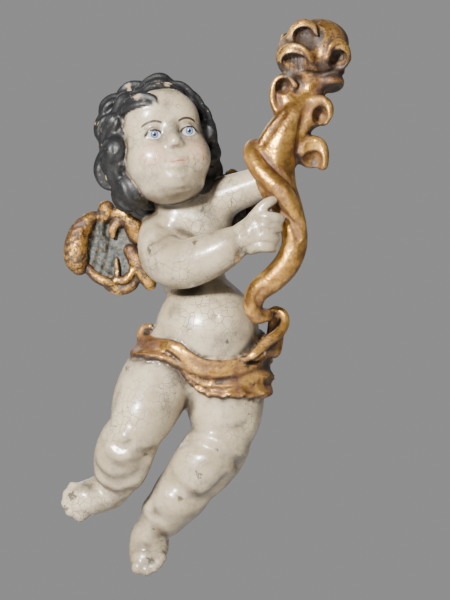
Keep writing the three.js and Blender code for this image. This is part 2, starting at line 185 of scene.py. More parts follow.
def blob(clay, centre, radii, blend=4.0, turn=None, carve=False):
    # ellipsoid; turn is a 3 x 3 matrix whose columns are its axes
    centre, radii = np.array(centre, float), np.array(radii, float)
    big = radii.max() + blend + margin
    cut, (x, y, z) = clay.block(centre - big, centre + big)
    x, y, z = x - centre[0], y - centre[1], z - centre[2]
    if turn is not None:
        x, y, z = (x * turn[0, k] + y * turn[1, k] + z * turn[2, k] for k in range(3))
    k0 = np.sqrt((x / radii[0]) ** 2 + (y / radii[1]) ** 2 + (z / radii[2]) ** 2)
    k1 = np.sqrt((x / radii[0] ** 2) ** 2 + (y / radii[1] ** 2) ** 2 + (z / radii[2] ** 2) ** 2)
    shape = (k0 * (k0 - 1) / np.maximum(k1, 1e-6)).astype(np.float32)
    if carve:
        clay.carve(cut, shape, blend)
    else:
        clay.add(cut, shape, blend)


def gouge(clay, points, depth, width):
    # a groove (depth > 0) or a swelling (depth < 0) along a line of points
    path = smoothPath(points, 4 * (len(points) - 1)) if len(points) > 1 else np.array(points, float)
    reach = 3.2 * width  # the groove has faded out here
    cut, (x, y, z) = clay.block(path.min(0) - reach, path.max(0) + reach)
    near = np.full(np.broadcast_shapes(x.shape, y.shape, z.shape), 1e6, np.float32)
    if len(path) == 1:
        near = (x - path[0, 0]) ** 2 + (y - path[0, 1]) ** 2 + (z - path[0, 2]) ** 2
    for a, b in zip(path[:-1], path[1:]):
        along = b - a
        h = np.clip(((x - a[0]) * along[0] + (y - a[1]) * along[1] + (z - a[2]) * along[2])
                    / max(along @ along, 1e-9), 0, 1)
        d = (x - a[0] - h * along[0]) ** 2 + (y - a[1] - h * along[1]) ** 2 + (z - a[2] - h * along[2]) ** 2
        near = np.minimum(near, d)
    clay.field[cut] += (depth * np.exp(-near / width ** 2)).astype(np.float32)


def onSurface(clay, line, inset=0.0, side=-1):
    # lifts (x, z) pairs onto the first skin met from the front (side -1) or the back (side 1)
    found = []
    ys = clay.axes[1]
    for x, z in line:
        i = min(int(np.searchsorted(clay.axes[0], x)), len(clay.axes[0]) - 1)
        k = min(int(np.searchsorted(clay.axes[2], z)), len(clay.axes[2]) - 1)
        column = clay.field[i, :, k]
        solid = np.nonzero(column < 0)[0]
        if len(solid) == 0:
            solid = [int(np.argmin(column))]
        y = ys[solid[0]] + inset if side < 0 else ys[solid[-1]] - inset
        found.append([x, y, z])
    return found


def skin(field, axes):
    # one smooth closed skin of four-sided faces round the clay
    inside = field < 0
    count = np.zeros([n - 1 for n in field.shape], np.uint8)
    corners = [(a, b, c) for a in (0, 1) for b in (0, 1) for c in (0, 1)]

    def view(arr, a, b, c):
        return arr[a:arr.shape[0] - 1 + a, b:arr.shape[1] - 1 + b, c:arr.shape[2] - 1 + c]

    for corner in corners:
        count += view(inside, *corner)
    active = (count > 0) & (count < 8)
    cells = np.argwhere(active)
    number = np.full(active.shape, -1, np.int64)
    number[active] = np.arange(len(cells))
    i, j, k = cells.T
    value = {c: field[i + c[0], j + c[1], k + c[2]].astype(float) for c in corners}
    spot = np.zeros([len(cells), 3])
    hits = np.zeros(len(cells))
    for a in corners:
        for axis in range(3):
            if a[axis]:
                continue
            b = tuple(1 if n == axis else a[n] for n in range(3))
            crossing = (value[a] < 0) != (value[b] < 0)
            share = value[a] / np.where(crossing, value[a] - value[b], 1)
            for n in range(3):
                spot[:, n] += np.where(crossing, share if n == axis else a[n], 0)
            hits += crossing
    spot /= hits[:, None]
    places = []
    for n in range(3):
        low, high = axes[n][cells[:, n]], axes[n][cells[:, n] + 1]
        places.append(low + spot[:, n] * (high - low))
    points = np.stack(places, 1)
    quads = []
    for axis in range(3):
        u, v = [(1, 2), (2, 0), (0, 1)][axis]
        a = np.moveaxis(inside, (axis, u, v), (0, 1, 2))
        numbers = np.moveaxis(number, (axis, u, v), (0, 1, 2))
        edge = a[:-1, 1:-1, 1:-1] != a[1:, 1:-1, 1:-1]
        e, p, q = np.nonzero(edge)
        out = a[:-1, 1:-1, 1:-1][edge]
        round4 = (numbers[e, p, q], numbers[e, p + 1, q], numbers[e, p + 1, q + 1], numbers[e, p, q + 1])
        ring = np.stack(round4, 1)
        ring[~out] = ring[~out][:, ::-1]
        quads.append(ring)
    return points, np.concatenate(quads)


def pointNormals(points, quads):
    face = np.cross(points[quads[:, 2]] - points[quads[:, 0]], points[quads[:, 3]] - points[quads[:, 1]])
    normal = np.zeros_like(points)
    for n in range(3):
        for c in range(4):
            normal[:, n] += np.bincount(quads[:, c], face[:, n], len(points))
    return normal / np.maximum(np.linalg.norm(normal, axis=1), 1e-9)[:, None]


def relax(points, quads, rounds=2, amount=0.4):
    # evens out the skin a little
    for _ in range(rounds):
        total = np.zeros_like(points)
        number = np.zeros(len(points))
        for c in range(4):
            here, there = quads[:, c], quads[:, (c + 1) % 4]
            for a, b in ((here, there), (there, here)):
                number += np.bincount(a, minlength=len(points))
                for n in range(3):
                    total[:, n] += np.bincount(a, points[b, n], len(points))
        points = points + amount * (total / number[:, None] - points)
    return points


def hollowAndRidge(clay, points, normals):
    # how sheltered and how exposed each point of the skin is, 0 to 1
    hollow, ridge = 0, 0
    for out in (1.5, 3.0, 6.0, 10.0):  # looks this far out of the wood, and less far into it
        deep = min(out, 5.0)
        hollow = hollow + np.clip(1 - clay.sample(points + normals * out) / out, 0, 1.6) / 4
        ridge = ridge + np.clip(1 + clay.sample(points - normals * deep) / deep, 0, 1.6) / 4
    return hollow, ridge


def skinClay(clay):
    # the smoothed skin, its normals, and how sheltered and exposed each of its points is
    points, quads = skin(clay.field, clay.axes)
    points = relax(points, quads)
    normals = pointNormals(points, quads)
    return points, quads, normals, *hollowAndRidge(clay, points, normals)


def paintedShadeUnderAndEdges(normals, piece):
    # painted shade on undersides and round the edges, 0 to 1
    low = np.clip(-normals[:, 2] - 0.15, 0, 1)
    rim = np.clip(1 - 1.5 * np.abs(normals[:, 1]), 0, 1)
    return piece["shadeUnder"] * low + piece["shadeEdge"] * rim


def makePiece(name, points, quads, marks, material, node, slot):
    mesh = bpy.data.meshes.new(name)
    mesh.vertices.add(len(points))
    mesh.vertices.foreach_set("co", (points * mm).astype(np.float32).ravel())
    mesh.loops.add(quads.size)
    mesh.loops.foreach_set("vertex_index", quads.astype(np.int32).ravel())
    mesh.polygons.add(len(quads))
    mesh.polygons.foreach_set("loop_start", np.arange(0, quads.size, 4, dtype=np.int32))
    mesh.update(calc_edges=True)
    mesh.shade_smooth()
    for label, values in marks.items():
        mark = mesh.attributes.new(label, "FLOAT", "POINT")
        mark.data.foreach_set("value", values.astype(np.float32))
    mesh.materials.append(material)
    piece = bpy.data.objects.new(name, mesh)
    bpy.context.scene.collection.objects.link(piece)
    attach(piece, "root")
    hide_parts(node)
    report(f"{name}: {len(points)} points, {2 * len(quads)} triangles")


# the figure: body, head, cloth and hair are modelled apart and skinned as one
figure = {
    "grid": 2.04,  # spacing of the skin over body and limbs, mm
    "headGrid": 1.25, "deepGrid": 1.1,  # spacing over the head, and from front to back
    "headAt": (-21.2, -52.0, 64.0), "skull": (32.5, 34.5, 40.0),  # middle and half sizes
    "headLean": -7, "headTurn": 17, "headLift": -12,  # degrees
    "valleyDepth": 4.2, "creaseDepth": 1.7,  # the rolls of baby fat
    "foldShadeShare": 0.26, "foldShadeWidth": 1.3,  # painted shade drawn along the folds
    # painted shade under the forms and round their edges, and darker towards the feet
    "shadeUnder": 0.38, "shadeEdge": 0.24, "darkerToFeet": 0.12,
    "seam": 0.7,  # how softly paint, leaf and black meet, mm
    "frontOf": -34,  # worn spots are seen only in front of this
    "wall": 0.0,  # nothing stands behind this plane
}
torsoStations = [
    [10, -36, -104, 29], [12, -36, -91, 37], [12, -37, -74, 38.5], [11, -33, -58, 30], [7.5, -30, -46, 23],
    [0, -29, -24, 25.5], [-2, -29, -2, 30], [-1, -30, 12, 31], [-6, -34, 26, 21], [-10, -40, 38, 16],
]
rightLeg = [
    [-10, -35, -88, 25], [-22, -42, -105, 27.5], [-30, -50, -121, 27], [-35, -58, -134, 24],
    [-39.5, -61, -145, 20.5], [-46, -61, -156, 22], [-49.5, -59, -165, 22], [-52, -55, -174, 20.5],
    [-54, -49, -182, 16.5], [-59, -44, -189, 14], [-65, -41, -195, 13],
]
leftLeg = [
    [25, -36, -98, 27], [27, -36, -116, 29], [26, -38, -134, 28], [23.5, -41, -148, 24],
    [18.5, -43, -161, 24.8], [9, -45, -174, 23.5], [0, -43, -185, 21], [-7, -40, -195, 20.8],
    [-14, -36, -204, 18.8], [-21, -32, -212, 17.6], [-28, -28, -221, 14.2], [-31.5, -25, -229, 14],
    [-33.5, -23, -236, 13],
]
rightArm = [
    [-20, -34, 6, 16.5], [-22, -48, -6, 17.5], [-17, -63, -18.5, 18.6], [-5, -73, -22, 18.6],
    [9, -80, -18.5, 17.4], [22, -85, -13, 15.4], [31, -87.5, -8, 13], [37, -88.5, -5, 11.2],
    [43.5, -89, -1, 12.2], [50, -90, 2, 10.5],
]
leftArm = [
    [12, -33, 20, 19], [27, -37, 29.5, 15.6], [43, -41, 35.5, 13.6], [57, -44, 42, 12.4], [69, -47, 57, 11],
    [75, -49, 74, 9.5],
]


def turnMatrix(lean, turn, lift):
    a, b, c = (math.radians(v) for v in (lean, turn, lift))
    ry = np.array([[math.cos(a), 0, math.sin(a)], [0, 1, 0], [-math.sin(a), 0, math.cos(a)]])
    rz = np.array([[math.cos(b), -math.sin(b), 0], [math.sin(b), math.cos(b), 0], [0, 0, 1]])
    rx = np.array([[1, 0, 0], [0, math.cos(c), -math.sin(c)], [0, math.sin(c), math.cos(c)]])
    return ry @ rz @ rx


headAt = np.array(figure["headAt"])
headTurn = turnMatrix(figure["headLean"], figure["headTurn"], figure["headLift"])
skull = np.array(figure["skull"])


def inHead(point):
    return (headAt + headTurn @ np.array(point[:3], float)).tolist() + list(point[3:])


def onSkull(left, up, share, radius):
    a, b = math.radians(left), math.radians(up)
    flat = math.cos(b) * share
    return inHead([skull[0] * flat * math.sin(a), -skull[1] * flat * math.cos(a),
                   skull[2] * math.sin(b) * share, radius])


def modelBody(clay):
    tube(clay, torsoStations, blend=0, flat=1.12, steps=40)
    blob(clay, (15, -43, -69), (32, 30, 28), 12)  # belly
    blob(clay, (-14, -45, 5), (17, 13, 14), 7)  # chest
    blob(clay, (12, -46, 9), (17, 13, 14), 7)
    blob(clay, (-6, -22, -96), (26, 20, 22), 8)  # seat
    blob(clay, (30, -22, -100), (26, 20, 24), 8)
    tube(clay, rightLeg, 5, steps=44)
    tube(clay, leftLeg, 5, steps=48)
    tube(clay, rightArm, 1.2, steps=40)
    tube(clay, leftArm, 6, steps=24)
    tube(clay, [[-6, -36, 24, 19], [-12, -44, 44, 19]], 6)  # neck
    blob(clay, (28.5, -50, -42.5), (4.2, 4, 4.2), 3)  # small knob over the belly


# x, y, z, radius; the toes run from the big one down
feet = {
    "right": {
        "sole": [(-66, -41, -193, 12.5), (-75, -43, -197, 14), (-82, -43, -200, 12.8)],
        "heel": (-58, -38, -193, 11),
        "toes": [(-82.5, -47, -210, 5.2), (-89, -47, -207, 4.6), (-92, -46.5, -201, 4.5),
                 (-91.3, -45.5, -195, 4.3), (-88, -44, -190, 4)],
    },
    "left": {
        "sole": [(-31, -24, -237, 12.5), (-33.5, -27, -243, 12.5), (-34.5, -29, -246, 11)],
        "heel": (-29, -20, -236, 11.5),
        "toes": [(-39, -36, -250.5, 5.2), (-33, -37, -252.5, 4.4), (-28, -36.5, -250.5, 4.2),
                 (-24.5, -35, -247, 4), (-22, -33, -243.5, 3.8)],
    },
}


def modelFoot(clay, foot):
    *heelAt, heelRadius = foot["heel"]
    tube(clay, foot["sole"], 5, steps=12)
    blob(clay, heelAt, (heelRadius,) * 3, 6)
    ball = np.array(foot["sole"][-1][:3], float)
    for *tip, radius in foot["toes"]:
        tip = np.array(tip, float)
        root = ball + (tip - ball) * 0.45
        knuckle = root + (tip - root) * 0.6
        tube(clay, [[*root, radius * 1.05], [*knuckle, radius * 0.92], [*tip, radius]], 1.0)
        blob(clay, tip + (tip - ball) / np.linalg.norm(tip - ball) * 0.6, (radius * 1.04,) * 3, 1.0)


def modelHands(clay):
    # right hand across the front of the horn, four fingers and a thumb
    blob(clay, (50.5, -91, 3), (11, 8.5, 13.5), 5)
    for i in range(4):
        z, back = 11.5 - 7.2 * i, 0.8 * i
        finger = [[47 - i, -94 + back, z - 1, 5], [54.5 - i, -99 + back, z + 0.6, 4.7],
                  [58 - i, -100 + back, z + 0.4, 4.3], [62.5 - 1.4 * i, -99 + back, z, 4.1],
                  [67 - 1.8 * i, -95.5 + back, z - 0.6, 3.7]]
        tube(clay, finger, 0.4, steps=20)
    thumb = [[45, -90, 7, 5.8], [50, -95, 14, 5.2], [54, -97, 19, 4.6], [58.5, -97, 22.5, 4.3],
             [62, -95, 24.5, 3.5]]
    tube(clay, thumb, 1.2)
    # left hand behind the horn
    tube(clay, [[74, -49, 66, 9], [77, -50, 84, 9]], 4, flat=1.4)
    for i in range(4):
        z = 64 + 6.5 * i
        tube(clay, [[74 + i, -49, z, 4.4], [80 + i, -52, z + 1, 4.2], [83 + i, -59, z + 2, 3.6]], 1.0)


face = {
    "eyeApart": 13.5, "eyeHeight": 2.5, "eyeBall": 7.4,
    "mouthHeight": -19.5, "mouthWide": 6.8,
    "irisWide": 2.9, "pupilWide": 1.35, "browHeight": 10.4, "browBend": -0.04,
}


def modelFace(clay):
    def local(*rows):
        return [inHead(r) for r in rows]
    blob(clay, headAt, skull, 0, headTurn)
    blob(clay, inHead([0, -11, -15]), (29, 25, 25), 9, headTurn)  # round lower face
    for s in (-1, 1):
        blob(clay, inHead([15 * s, -19, -12]), (13.5, 14, 13), 9, headTurn)  # cheek
        blob(clay, inHead([13 * s, -15, 19]), (14, 17, 13), 9, headTurn)  # brow
        blob(clay, inHead([face["eyeApart"] * s, -38.5, 3]), (8, 7, 5.6), 5, headTurn, carve=True)  # socket
        e, h = face["eyeApart"] * s, face["eyeHeight"]
        blob(clay, inHead([e, -25.0, h]), (face["eyeBall"],) * 3, 0.5, headTurn)
        upper = [[e - 6.2, -28.6, h - 0.8, 1.0], [e - 3.6, -31.8, h + 2.6, 1.5], [e, -32.9, h + 4.0, 1.7],
                 [e + 3.6, -31.8, h + 2.6, 1.5], [e + 6.2, -28.6, h - 0.8, 1.0]]
        tube(clay, local(*upper), 1.8)
        lower = [[e - 5.8, -29, h - 1.4, 1.0], [e, -31.6, h - 4.4, 1.4], [e + 5.8, -29, h - 1.4, 1.0]]
        tube(clay, local(*lower), 2.2)
        tube(clay, local([33 * s, 4, 4, 4], [35 * s, 3, -2, 3.6], [32 * s, 1, -11, 3]), 3)  # ear
    blob(clay, inHead([0, -20, 24]), (21, 17, 16), 9, headTurn)  # forehead
    tube(clay, local([0, -32.5, 9, 3.2], [0, -35.5, 1, 3.2], [0, -38.2, -5.2, 4.2]), 5)  # nose
    for s in (-1, 1):
        blob(clay, inHead([3.9 * s, -36.2, -7.4]), (2.8, 3.2, 2.5), 2.4, headTurn)
        gouge(clay, local([2.2 * s, -39.2, -10.0]), 1.6, 1.0)  # nostril
    m, w = face["mouthHeight"], face["mouthWide"]
    blob(clay, inHead([0, -29, m - 0.5]), (10, 6.5, 7.5), 7, headTurn)
    tube(clay, local([-w, -33.4, m + 0.6, 0.8], [-2.8, -36.4, m + 1.8, 1.4], [0, -36.8, m + 1.2, 1.5],
                     [2.8, -36.4, m + 1.8, 1.4], [w, -33.4, m + 0.6, 0.8]), 1.8)
    tube(clay, local([-w + 1.6, -34.0, m - 1.2, 0.8], [0, -36.2, m - 3.0, 2.2],
                     [w - 1.6, -34.0, m - 1.2, 0.8]), 1.8)
    gouge(clay, local([-w - 0.8, -34.2, m + 0.4], [-3, -37.8, m - 0.2], [0, -38.6, m - 0.8],
                      [3, -37.8, m - 0.2], [w + 0.8, -34.2, m + 0.4]), 1.3, 0.9)
    for s in (-1, 1):
        gouge(clay, local([(w + 1.6) * s, -34.5, m + 0.8]), 1.2, 1.8)  # corners of the mouth
    gouge(clay, local([0, -38.0, m + 4.2], [0, -38.2, m + 7]), 0.7, 1.2)  # philtrum
    gouge(clay, local([-6, -34.5, m - 7.0], [0, -36, m - 7.8], [6, -34.5, m - 7.0]), 1.5, 2.2)
    blob(clay, inHead([0, -26.5, -30]), (11, 9.5, 8), 7, headTurn)  # chin
    blob(clay, inHead([0, -13, -34]), (22, 17, 9), 8, headTurn)  # plump underside of the jaw
    gouge(clay, local([-16, -20, -35.5], [0, -29, -38], [16, -20, -35.5]), 1.0, 1.8)


hairStyle = {"strands": 5, "strandDepth": 0.95, "twist": 0.1, "backLock": 8.6}
# locks seen from the front: rows of x, z, radius, and how far they stand off the head
frontLocks = [
    [(-47, 94, 4.5, 1), (-54, 100, 6.6, 3), (-61, 97, 6.6, 4), (-63.5, 90.5, 4.6, 3), (-59, 87, 3, 2)],
    [(-50, 84, 5, 2), (-56, 88, 7, 3), (-63, 86, 7, 4), (-66.5, 79, 6, 3), (-64, 73, 5, 2),
     (-59, 73, 3.4, 1)],
    [(-49, 72, 5, 3), (-55, 75, 6.4, 4), (-61, 71, 6.8, 4), (-62.5, 64, 5.4, 3), (-58, 59, 4.4, 2)],
    [(-49, 60, 5, 3), (-55, 62, 7, 4), (-62, 58, 7.6, 4), (-65.5, 49, 7.2, 3), (-63, 41, 6.2, 2),
     (-57, 38, 4.6, 2)],
    [(-45, 51, 4.6, 4), (-50, 54, 5.6, 7), (-54, 48, 6.6, 8), (-52, 40, 6.2, 7), (-47, 38, 4.4, 5)],
    [(-42, 41, 4.6, 3), (-48, 37, 6.6, 5), (-52, 30, 7, 4), (-48, 23.5, 6.2, 2), (-41, 23, 4.6, 1)],
    [(-36, 31, 4.2, 1), (-41, 26, 6.6, 2), (-37, 19.5, 6.8, 0), (-29, 18, 6, -4), (-22, 20, 4.5, -8)],
    [(-44, 95, 4.6, 2), (-49, 103, 6.6, 3), (-45, 109, 7, 2), (-37, 110.5, 6, 1), (-32, 107, 4.4, 0)],
    [(-50, 89, 4.4, 10), (-44, 93.5, 6.6, 14), (-36, 96.5, 7.8, 17), (-29, 97, 6.8, 17),
     (-23.5, 92, 3.4, 16)],
    [(-35, 106, 4.4, 8), (-31, 111, 6.4, 9), (-23, 115, 6.8, 8), (-16, 113, 5, 6)],
    [(-33, 103, 4, 15), (-26, 105.5, 7, 17), (-17, 104.5, 7.2, 15), (-9, 101.5, 5.6, 12), (-4, 98, 3.6, 10)],
    [(-18, 108, 4.8, 9), (-10, 109.5, 6.2, 9), (-3, 106, 5.8, 9), (1, 100.5, 4, 8)],
    [(-8, 105, 4.4, 8), (-0.5, 103, 6, 8), (5.5, 97.5, 5.2, 7), (8, 91, 3.8, 5)],
    [(4.5, 96, 4, 6), (9, 92.5, 5.4, 6), (11, 86, 5.6, 5), (8.5, 80.5, 4, 4)],
    [(7, 82, 4, 1), (11.5, 80, 5.6, 1), (14.5, 73.5, 5.8, 1), (11.5, 68, 4.4, 1)],
    [(9.5, 70, 4, 1), (14.5, 68.5, 5.6, 1), (17.2, 61.5, 6, 1), (14, 56, 4.4, 1)],
    [(10.5, 58, 4, 1), (15.5, 55, 5.8, 1), (18.4, 48, 6.4, 1), (15, 41, 4.8, 1)],
    [(9.5, 45, 4, 1), (13.5, 40.5, 5.8, 1), (14.2, 34, 5.8, 1), (10, 30, 4.2, 1)],
]
# places where the black is rubbed through: x, z, radius
hairRubbed = [
    (-38, 102, 7), (-33, 99, 5), (-23, 114.5, 5), (-17, 112, 4.5), (-21, 106, 5.5), (-67, 78, 4.5),
    (-69, 84, 4), (-66, 46, 5), (-63, 42, 3.5), (-44, 37, 4), (-61, 97, 3.5), (-46, 111, 5), (-66, 67, 3),
    (-52, 52, 3),
]


def modelHair(clay):
    hub = np.array(inHead([-1, 9, 5]))
    cap = np.array([34.0, 33.0, 39.0])
    blob(clay, hub, cap, 0, headTurn)
    blob(clay, inHead([1, -38, -8]), (30, 29, 42.5), 3, headTurn, carve=True)  # keep the face clear

    def lock(rows, blend=0.8):
        tube(clay, rows, blend, steps=5 * (len(rows) - 1) + 4, flat=1.1, facing=(0.2, 1, 0.1),
             strands=(hairStyle["strands"], hairStyle["strandDepth"], hairStyle["twist"]))

    for rows in frontLocks:
        placed = []
        for x, z, radius, out in rows:
            dome = 1 - ((x - hub[0]) / (cap[0] + 2)) ** 2 - ((z - hub[2]) / (cap[2] + 2)) ** 2
            placed.append([x, hub[1] + 6 - (cap[1] + 2) * math.sqrt(max(dome, 0.0)) - out, z, radius])
        lock(placed)
    # the back of the head in rows of wavy locks: degrees round it, top, foot, share of the skull's size
    thick = hairStyle["backLock"]
    rowsOfLocks = (((96, 124, 152, 180, 208, 236, 264), 66, 20, 1.1),
                   ((92, 116, 142, 168, 194, 220, 246, 270), 28, -16, 1.14),
                   ((104, 130, 156, 182, 208, 234, 260), -6, -50, 1.1))
    for row, (places, top, low, out) in enumerate(rowsOfLocks):
        for n, left in enumerate(places):
            rows = []
            for s in range(6):
                t = s / 5
                swing = 9 * math.sin(2.0 * s + n * 1.9 + row)
                share = out + 0.05 * math.sin(2.1 * s + n)
                radius = thick * (0.66 + 0.4 * math.sin(math.pi * (0.12 + 0.8 * t)))
                rows.append(onSkull(left + swing, top + (low - top) * t, share, radius))
            lock(rows, 1.0)
    for n in range(9):  # short curls over the top of the head
        turn = 40 * n + 90
        curl = ((0, 74, 1.02, 5), (16, 66, 1.12, 6.4), (34, 56, 1.1, 6), (30, 46, 1.04, 4))
        lock([onSkull(turn + left, up, share, radius) for left, up, share, radius in curl])


fleshChips = [  # worn specks on the flesh: x, z, radius
    (6, -179, 5), (-7, -197, 4), (-46, -158, 3), (-33, -163, 3), (20, -160, 3), (-28, -222, 3),
    (-30, -245, 5),
    (-88, -196, 6), (-93, -205, 4), (10, 18, 4), (46, -112, 4), (-30, -12, 4), (4, -6, 4), (28, -80, 3),
    (-47, -100, 3),
]


def frontSpots(points, spots):
    amount = np.zeros(len(points))
    for x, z, radius in spots:
        far = (points[:, 0] - x) ** 2 + (points[:, 2] - z) ** 2
        amount = np.maximum(amount, np.exp(-far / radius ** 2))
    return amount * (points[:, 1] < figure["frontOf"])


cloth = {
    "sheet": 2.4,  # how far the cloth stands off the body
    "upperRim": 1.8, "lowerRim": 3.2,  # raised edges of the rolled band
    "hemRim": 2.8, "midRim": 2.4,  # ridges of the hanging part
    "ragged": 0.7,
}
# degrees round the hips from +X, top of the band, foot of the band, hem
clothRun = np.array([
    [-205, -70, -84, -86], [-165, -76, -88, -90], [-146, -79, -90, -92], [-130, -81, -93, -95],
    [-118, -86, -99, -103], [-109, -89, -102, -112], [-90, -94.5, -106, -119], [-70, -95.5, -106, -121],
    [-48, -93, -104, -121], [-30, -87, -99, -122], [-15, -81, -93, -122], [0, -74, -88, -114],
    [20, -70, -84, -101], [60, -68, -80, -91], [120, -68, -80, -86], [155, -70, -84, -86],
])


def modelCloth(body):
    # the cloth follows the body under it: its face is the body's own distance plus a profile
    clay = Clay(body.axes)
    cut, (x, y, z) = clay.block((-50, -96, -136), (88, 12, -50))
    torso = np.array(torsoStations)[:, :3]
    order = np.argsort(torso[:, 2])
    cx = np.interp(z, torso[order, 2], torso[order, 0])
    cy = np.interp(z, torso[order, 2], torso[order, 1])
    turn = np.degrees(np.arctan2(y - cy, x - cx))
    turn = np.where(turn > 155, turn - 360, turn)
    top, foot, hem = (np.interp(turn, clothRun[:, 0], clothRun[:, k]) for k in (1, 2, 3))
    hem = hem + cloth["ragged"] * (np.sin(np.radians(turn) * 23) + 0.7 * np.sin(np.radians(turn) * 41 + 1))
    band = (top - z) / (top - foot)
    hang = (foot - z) / np.maximum(foot - hem, 1.5)
    long = np.clip((foot - hem - 4) / 8, 0, 1)  # only where the cloth hangs below the band
    bump = lambda at, middle, wide: np.exp(-((at - middle) / wide) ** 2)
    crust = np.sin(x * 0.9 + 1.7 * np.sin(z * 0.8)) * np.sin(z * 1.3 + x * 0.35)
    lift = cloth["sheet"] + cloth["upperRim"] * bump(band, 0.08, 0.16)
    lift = lift + cloth["lowerRim"] * bump(band, 0.86, 0.2)
    lift = (lift - 1.7 * bump(band, 0.45, 0.22)) * np.clip((turn + 190) / 50, 0.3, 1)
    ridges = cloth["midRim"] * bump(hang, 0.45, 0.12) + cloth["hemRim"] * bump(hang, 0.9, 0.13)
    lift = lift + long * ridges
    lift = lift + long * 0.5 * crust * np.clip((hang - 0.2) * 3, 0, 1)
    side = np.clip((x - 46) / 12, 0, 1)  # deeper folds over the left hip
    lift = lift + side * 1.5 * np.sin((z + 0.35 * x) * 0.5) * np.clip(hang * 2, 0, 1) + 2.0 * side
    shape = body.field[cut] - lift
    edges = np.maximum(z - top - 0.5, hem - z - 0.5)
    near = np.maximum(1.6 - np.abs(shape - edges), 0) / 1.6
    clay.add(cut, (np.maximum(shape * 0.85, edges) + near * near * 0.4).astype(np.float32), 0)

    def onBody(rows, out):
        found = onSurface(body, [(x, z) for x, z, _ in rows])
        return [[x, y - out, z, r] for (x, z, r), (_, y, _) in zip(rows, found)]

    # one roll: a curl at the right hip, then the lower edge of the band
    curl = [[-29.5, -42, -69, 2.8], [-35, -38, -70, 3.2], [-37, -40, -76, 3.6], [-33.5, -46, -81.5, 4.2],
            [-26.5, -54, -84, 4.8], [-18, -63, -83.5, 4.8], [-11, -69, -84.5, 4.6]]
    lowerEdge = [(-4, -91, 4.2), (3, -97.5, 4), (12, -101.5, 3.8), (23, -102.5, 3.8), (35, -101.5, 3.8),
                 (46, -98, 3.6), (54, -93, 3)]
    tube(clay, curl + onBody(lowerEdge, 2.4), 3.6, steps=72)
    # the other: the thin upper edge, rising to a loop over the left hip
    upperEdge = [(-7, -82.5, 1.4), (0, -88.8, 1.6), (8, -93.4, 1.6), (17, -95.8, 1.6), (28, -96.2, 1.7),
                 (38.5, -94.4, 2)]
    loop = [[46.5, -68.5, -90.4, 2.8], [53, -63, -84.5, 3.8], [60, -59.5, -78.5, 4.2], [67, -56, -73, 4.2],
            [71, -52, -66, 3.8], [70, -49, -59, 3.4], [64, -48, -56, 3], [58, -51, -58, 2.6]]
    tube(clay, onBody(upperEdge, 3.2) + loop, 3.0, steps=72)
    tube(clay, [[62, -44, -86, 7], [64, -44, -75, 6.6], [64, -44.5, -64, 5.4]], 3.0)
    return clay


def modelFigure():
    fine, coarse = figure["headGrid"], figure["grid"]
    axes = (gridAxis(-104, 98, coarse, -76, 26, fine),
            gridAxis(-112, 4, coarse, -102, -4, figure["deepGrid"]),
            gridAxis(-264, 126, coarse, 14, 125, fine))
    body = Clay(axes)
    modelBody(body)
    for foot in feet.values():
        modelFoot(body, foot)
    modelHands(body)
    head = Clay(axes)
    modelFace(head)
    body.add(Clay.everywhere, head.field, 1.5)
    report("body and face modelled")
    foldShade = modelFolds(body)
    dress = modelCloth(body)
    hair = Clay(axes)
    modelHair(hair)
    report("cloth and hair modelled")
    whole = Clay(axes)
    whole.field = np.minimum(np.minimum(body.field, dress.field), hair.field)
    behind = axes[1][None, :, None] - figure["wall"]
    whole.field = np.maximum(whole.field, behind).astype(np.float32)
    whole.field[:, :, 0] = whole.field[:, :, -1] = farAway
    points, quads, normals, hollow, ridge = skinClay(whole)
    # painted shade along the folds, under the forms and round their edges joins the hollows
    hollow = hollow + np.clip(foldShade.sample(points), 0, 0.7) + paintedShadeUnderAndEdges(normals, figure)
    # darker towards the feet
    hollow = hollow + figure["darkerToFeet"] * np.clip((-150 - points[:, 2]) / 60, 0, 1)
    bodyAt, clothAt, hairAt = body.sample(points), dress.sample(points), hair.sample(points)
    marks = {
        "hollow": hollow, "ridge": ridge,
        "hair": np.clip(0.5 + (np.minimum(bodyAt, clothAt) - hairAt) / figure["seam"], 0, 1),
        "gilt": np.clip(0.5 + (np.minimum(bodyAt, hairAt) - clothAt) / figure["seam"], 0, 1),
        "rubbed": frontSpots(points, hairRubbed),
        "chip": frontSpots(points, fleshChips),
    }
    return points, quads, marks


# folds drawn on the front of the body: line of (x, z), share of the full depth, width
frontFolds = [
    ([(-54, -155), (-50, -157.5), (-44, -155)], 0.8, 1.8),  # right knee
    ([(-38, -161.5), (-30, -163.5)], 0.7, 1.6),
    ([(-63, -168), (-56, -172.5), (-47, -174), (-38, -170.5), (-30, -164)], 1.0, 2.2),
    ([(-72, -175), (-66, -180), (-56, -184.5), (-45, -183), (-36, -177)], 1.1, 2.2),
    ([(-76, -184), (-70, -188), (-62, -193), (-54, -196), (-46, -194)], 0.9, 2.0),
    ([(-4, -143), (10, -147), (26, -147), (42, -142)], 0.5, 2.4),  # left thigh
    ([(-3, -153), (4, -155.5), (16, -159), (27, -167), (38, -172)], 0.85, 1.9),
    # under the left knee
    ([(-17, -184), (-9.5, -189.5), (-2, -196), (9, -199), (18, -193), (26, -185)], 1.1, 2.3),
    ([(-38, -196), (-30, -204), (-22, -214)], 0.5, 2.2),
    ([(-44, -210), (-39, -214), (-32, -219), (-26, -226), (-21, -230)], 1.0, 2.2),  # left ankle
    ([(-45, -237), (-38, -236), (-31, -237)], 0.4, 1.6),
    ([(37.5, 9), (36.5, 2), (36.5, -6), (38, -15)], 0.8, 1.6),  # wrist
    ([(-25, -3), (-17, 1), (-8, 0), (0, -4)], 0.8, 1.9),  # bend of the elbow
    ([(-30, 22), (-24, 14), (-20, 6)], 0.5, 1.8),  # armpit
]
# navel, breastbone and the two kneecaps: place (x, z), depth, width
bodyDimples = [((19, -61.5), 3.6, 2.2), ((2, 6), 1.2, 3.2), ((-48, -150), -1.8, 7), ((14, -148), -1.0, 8)]


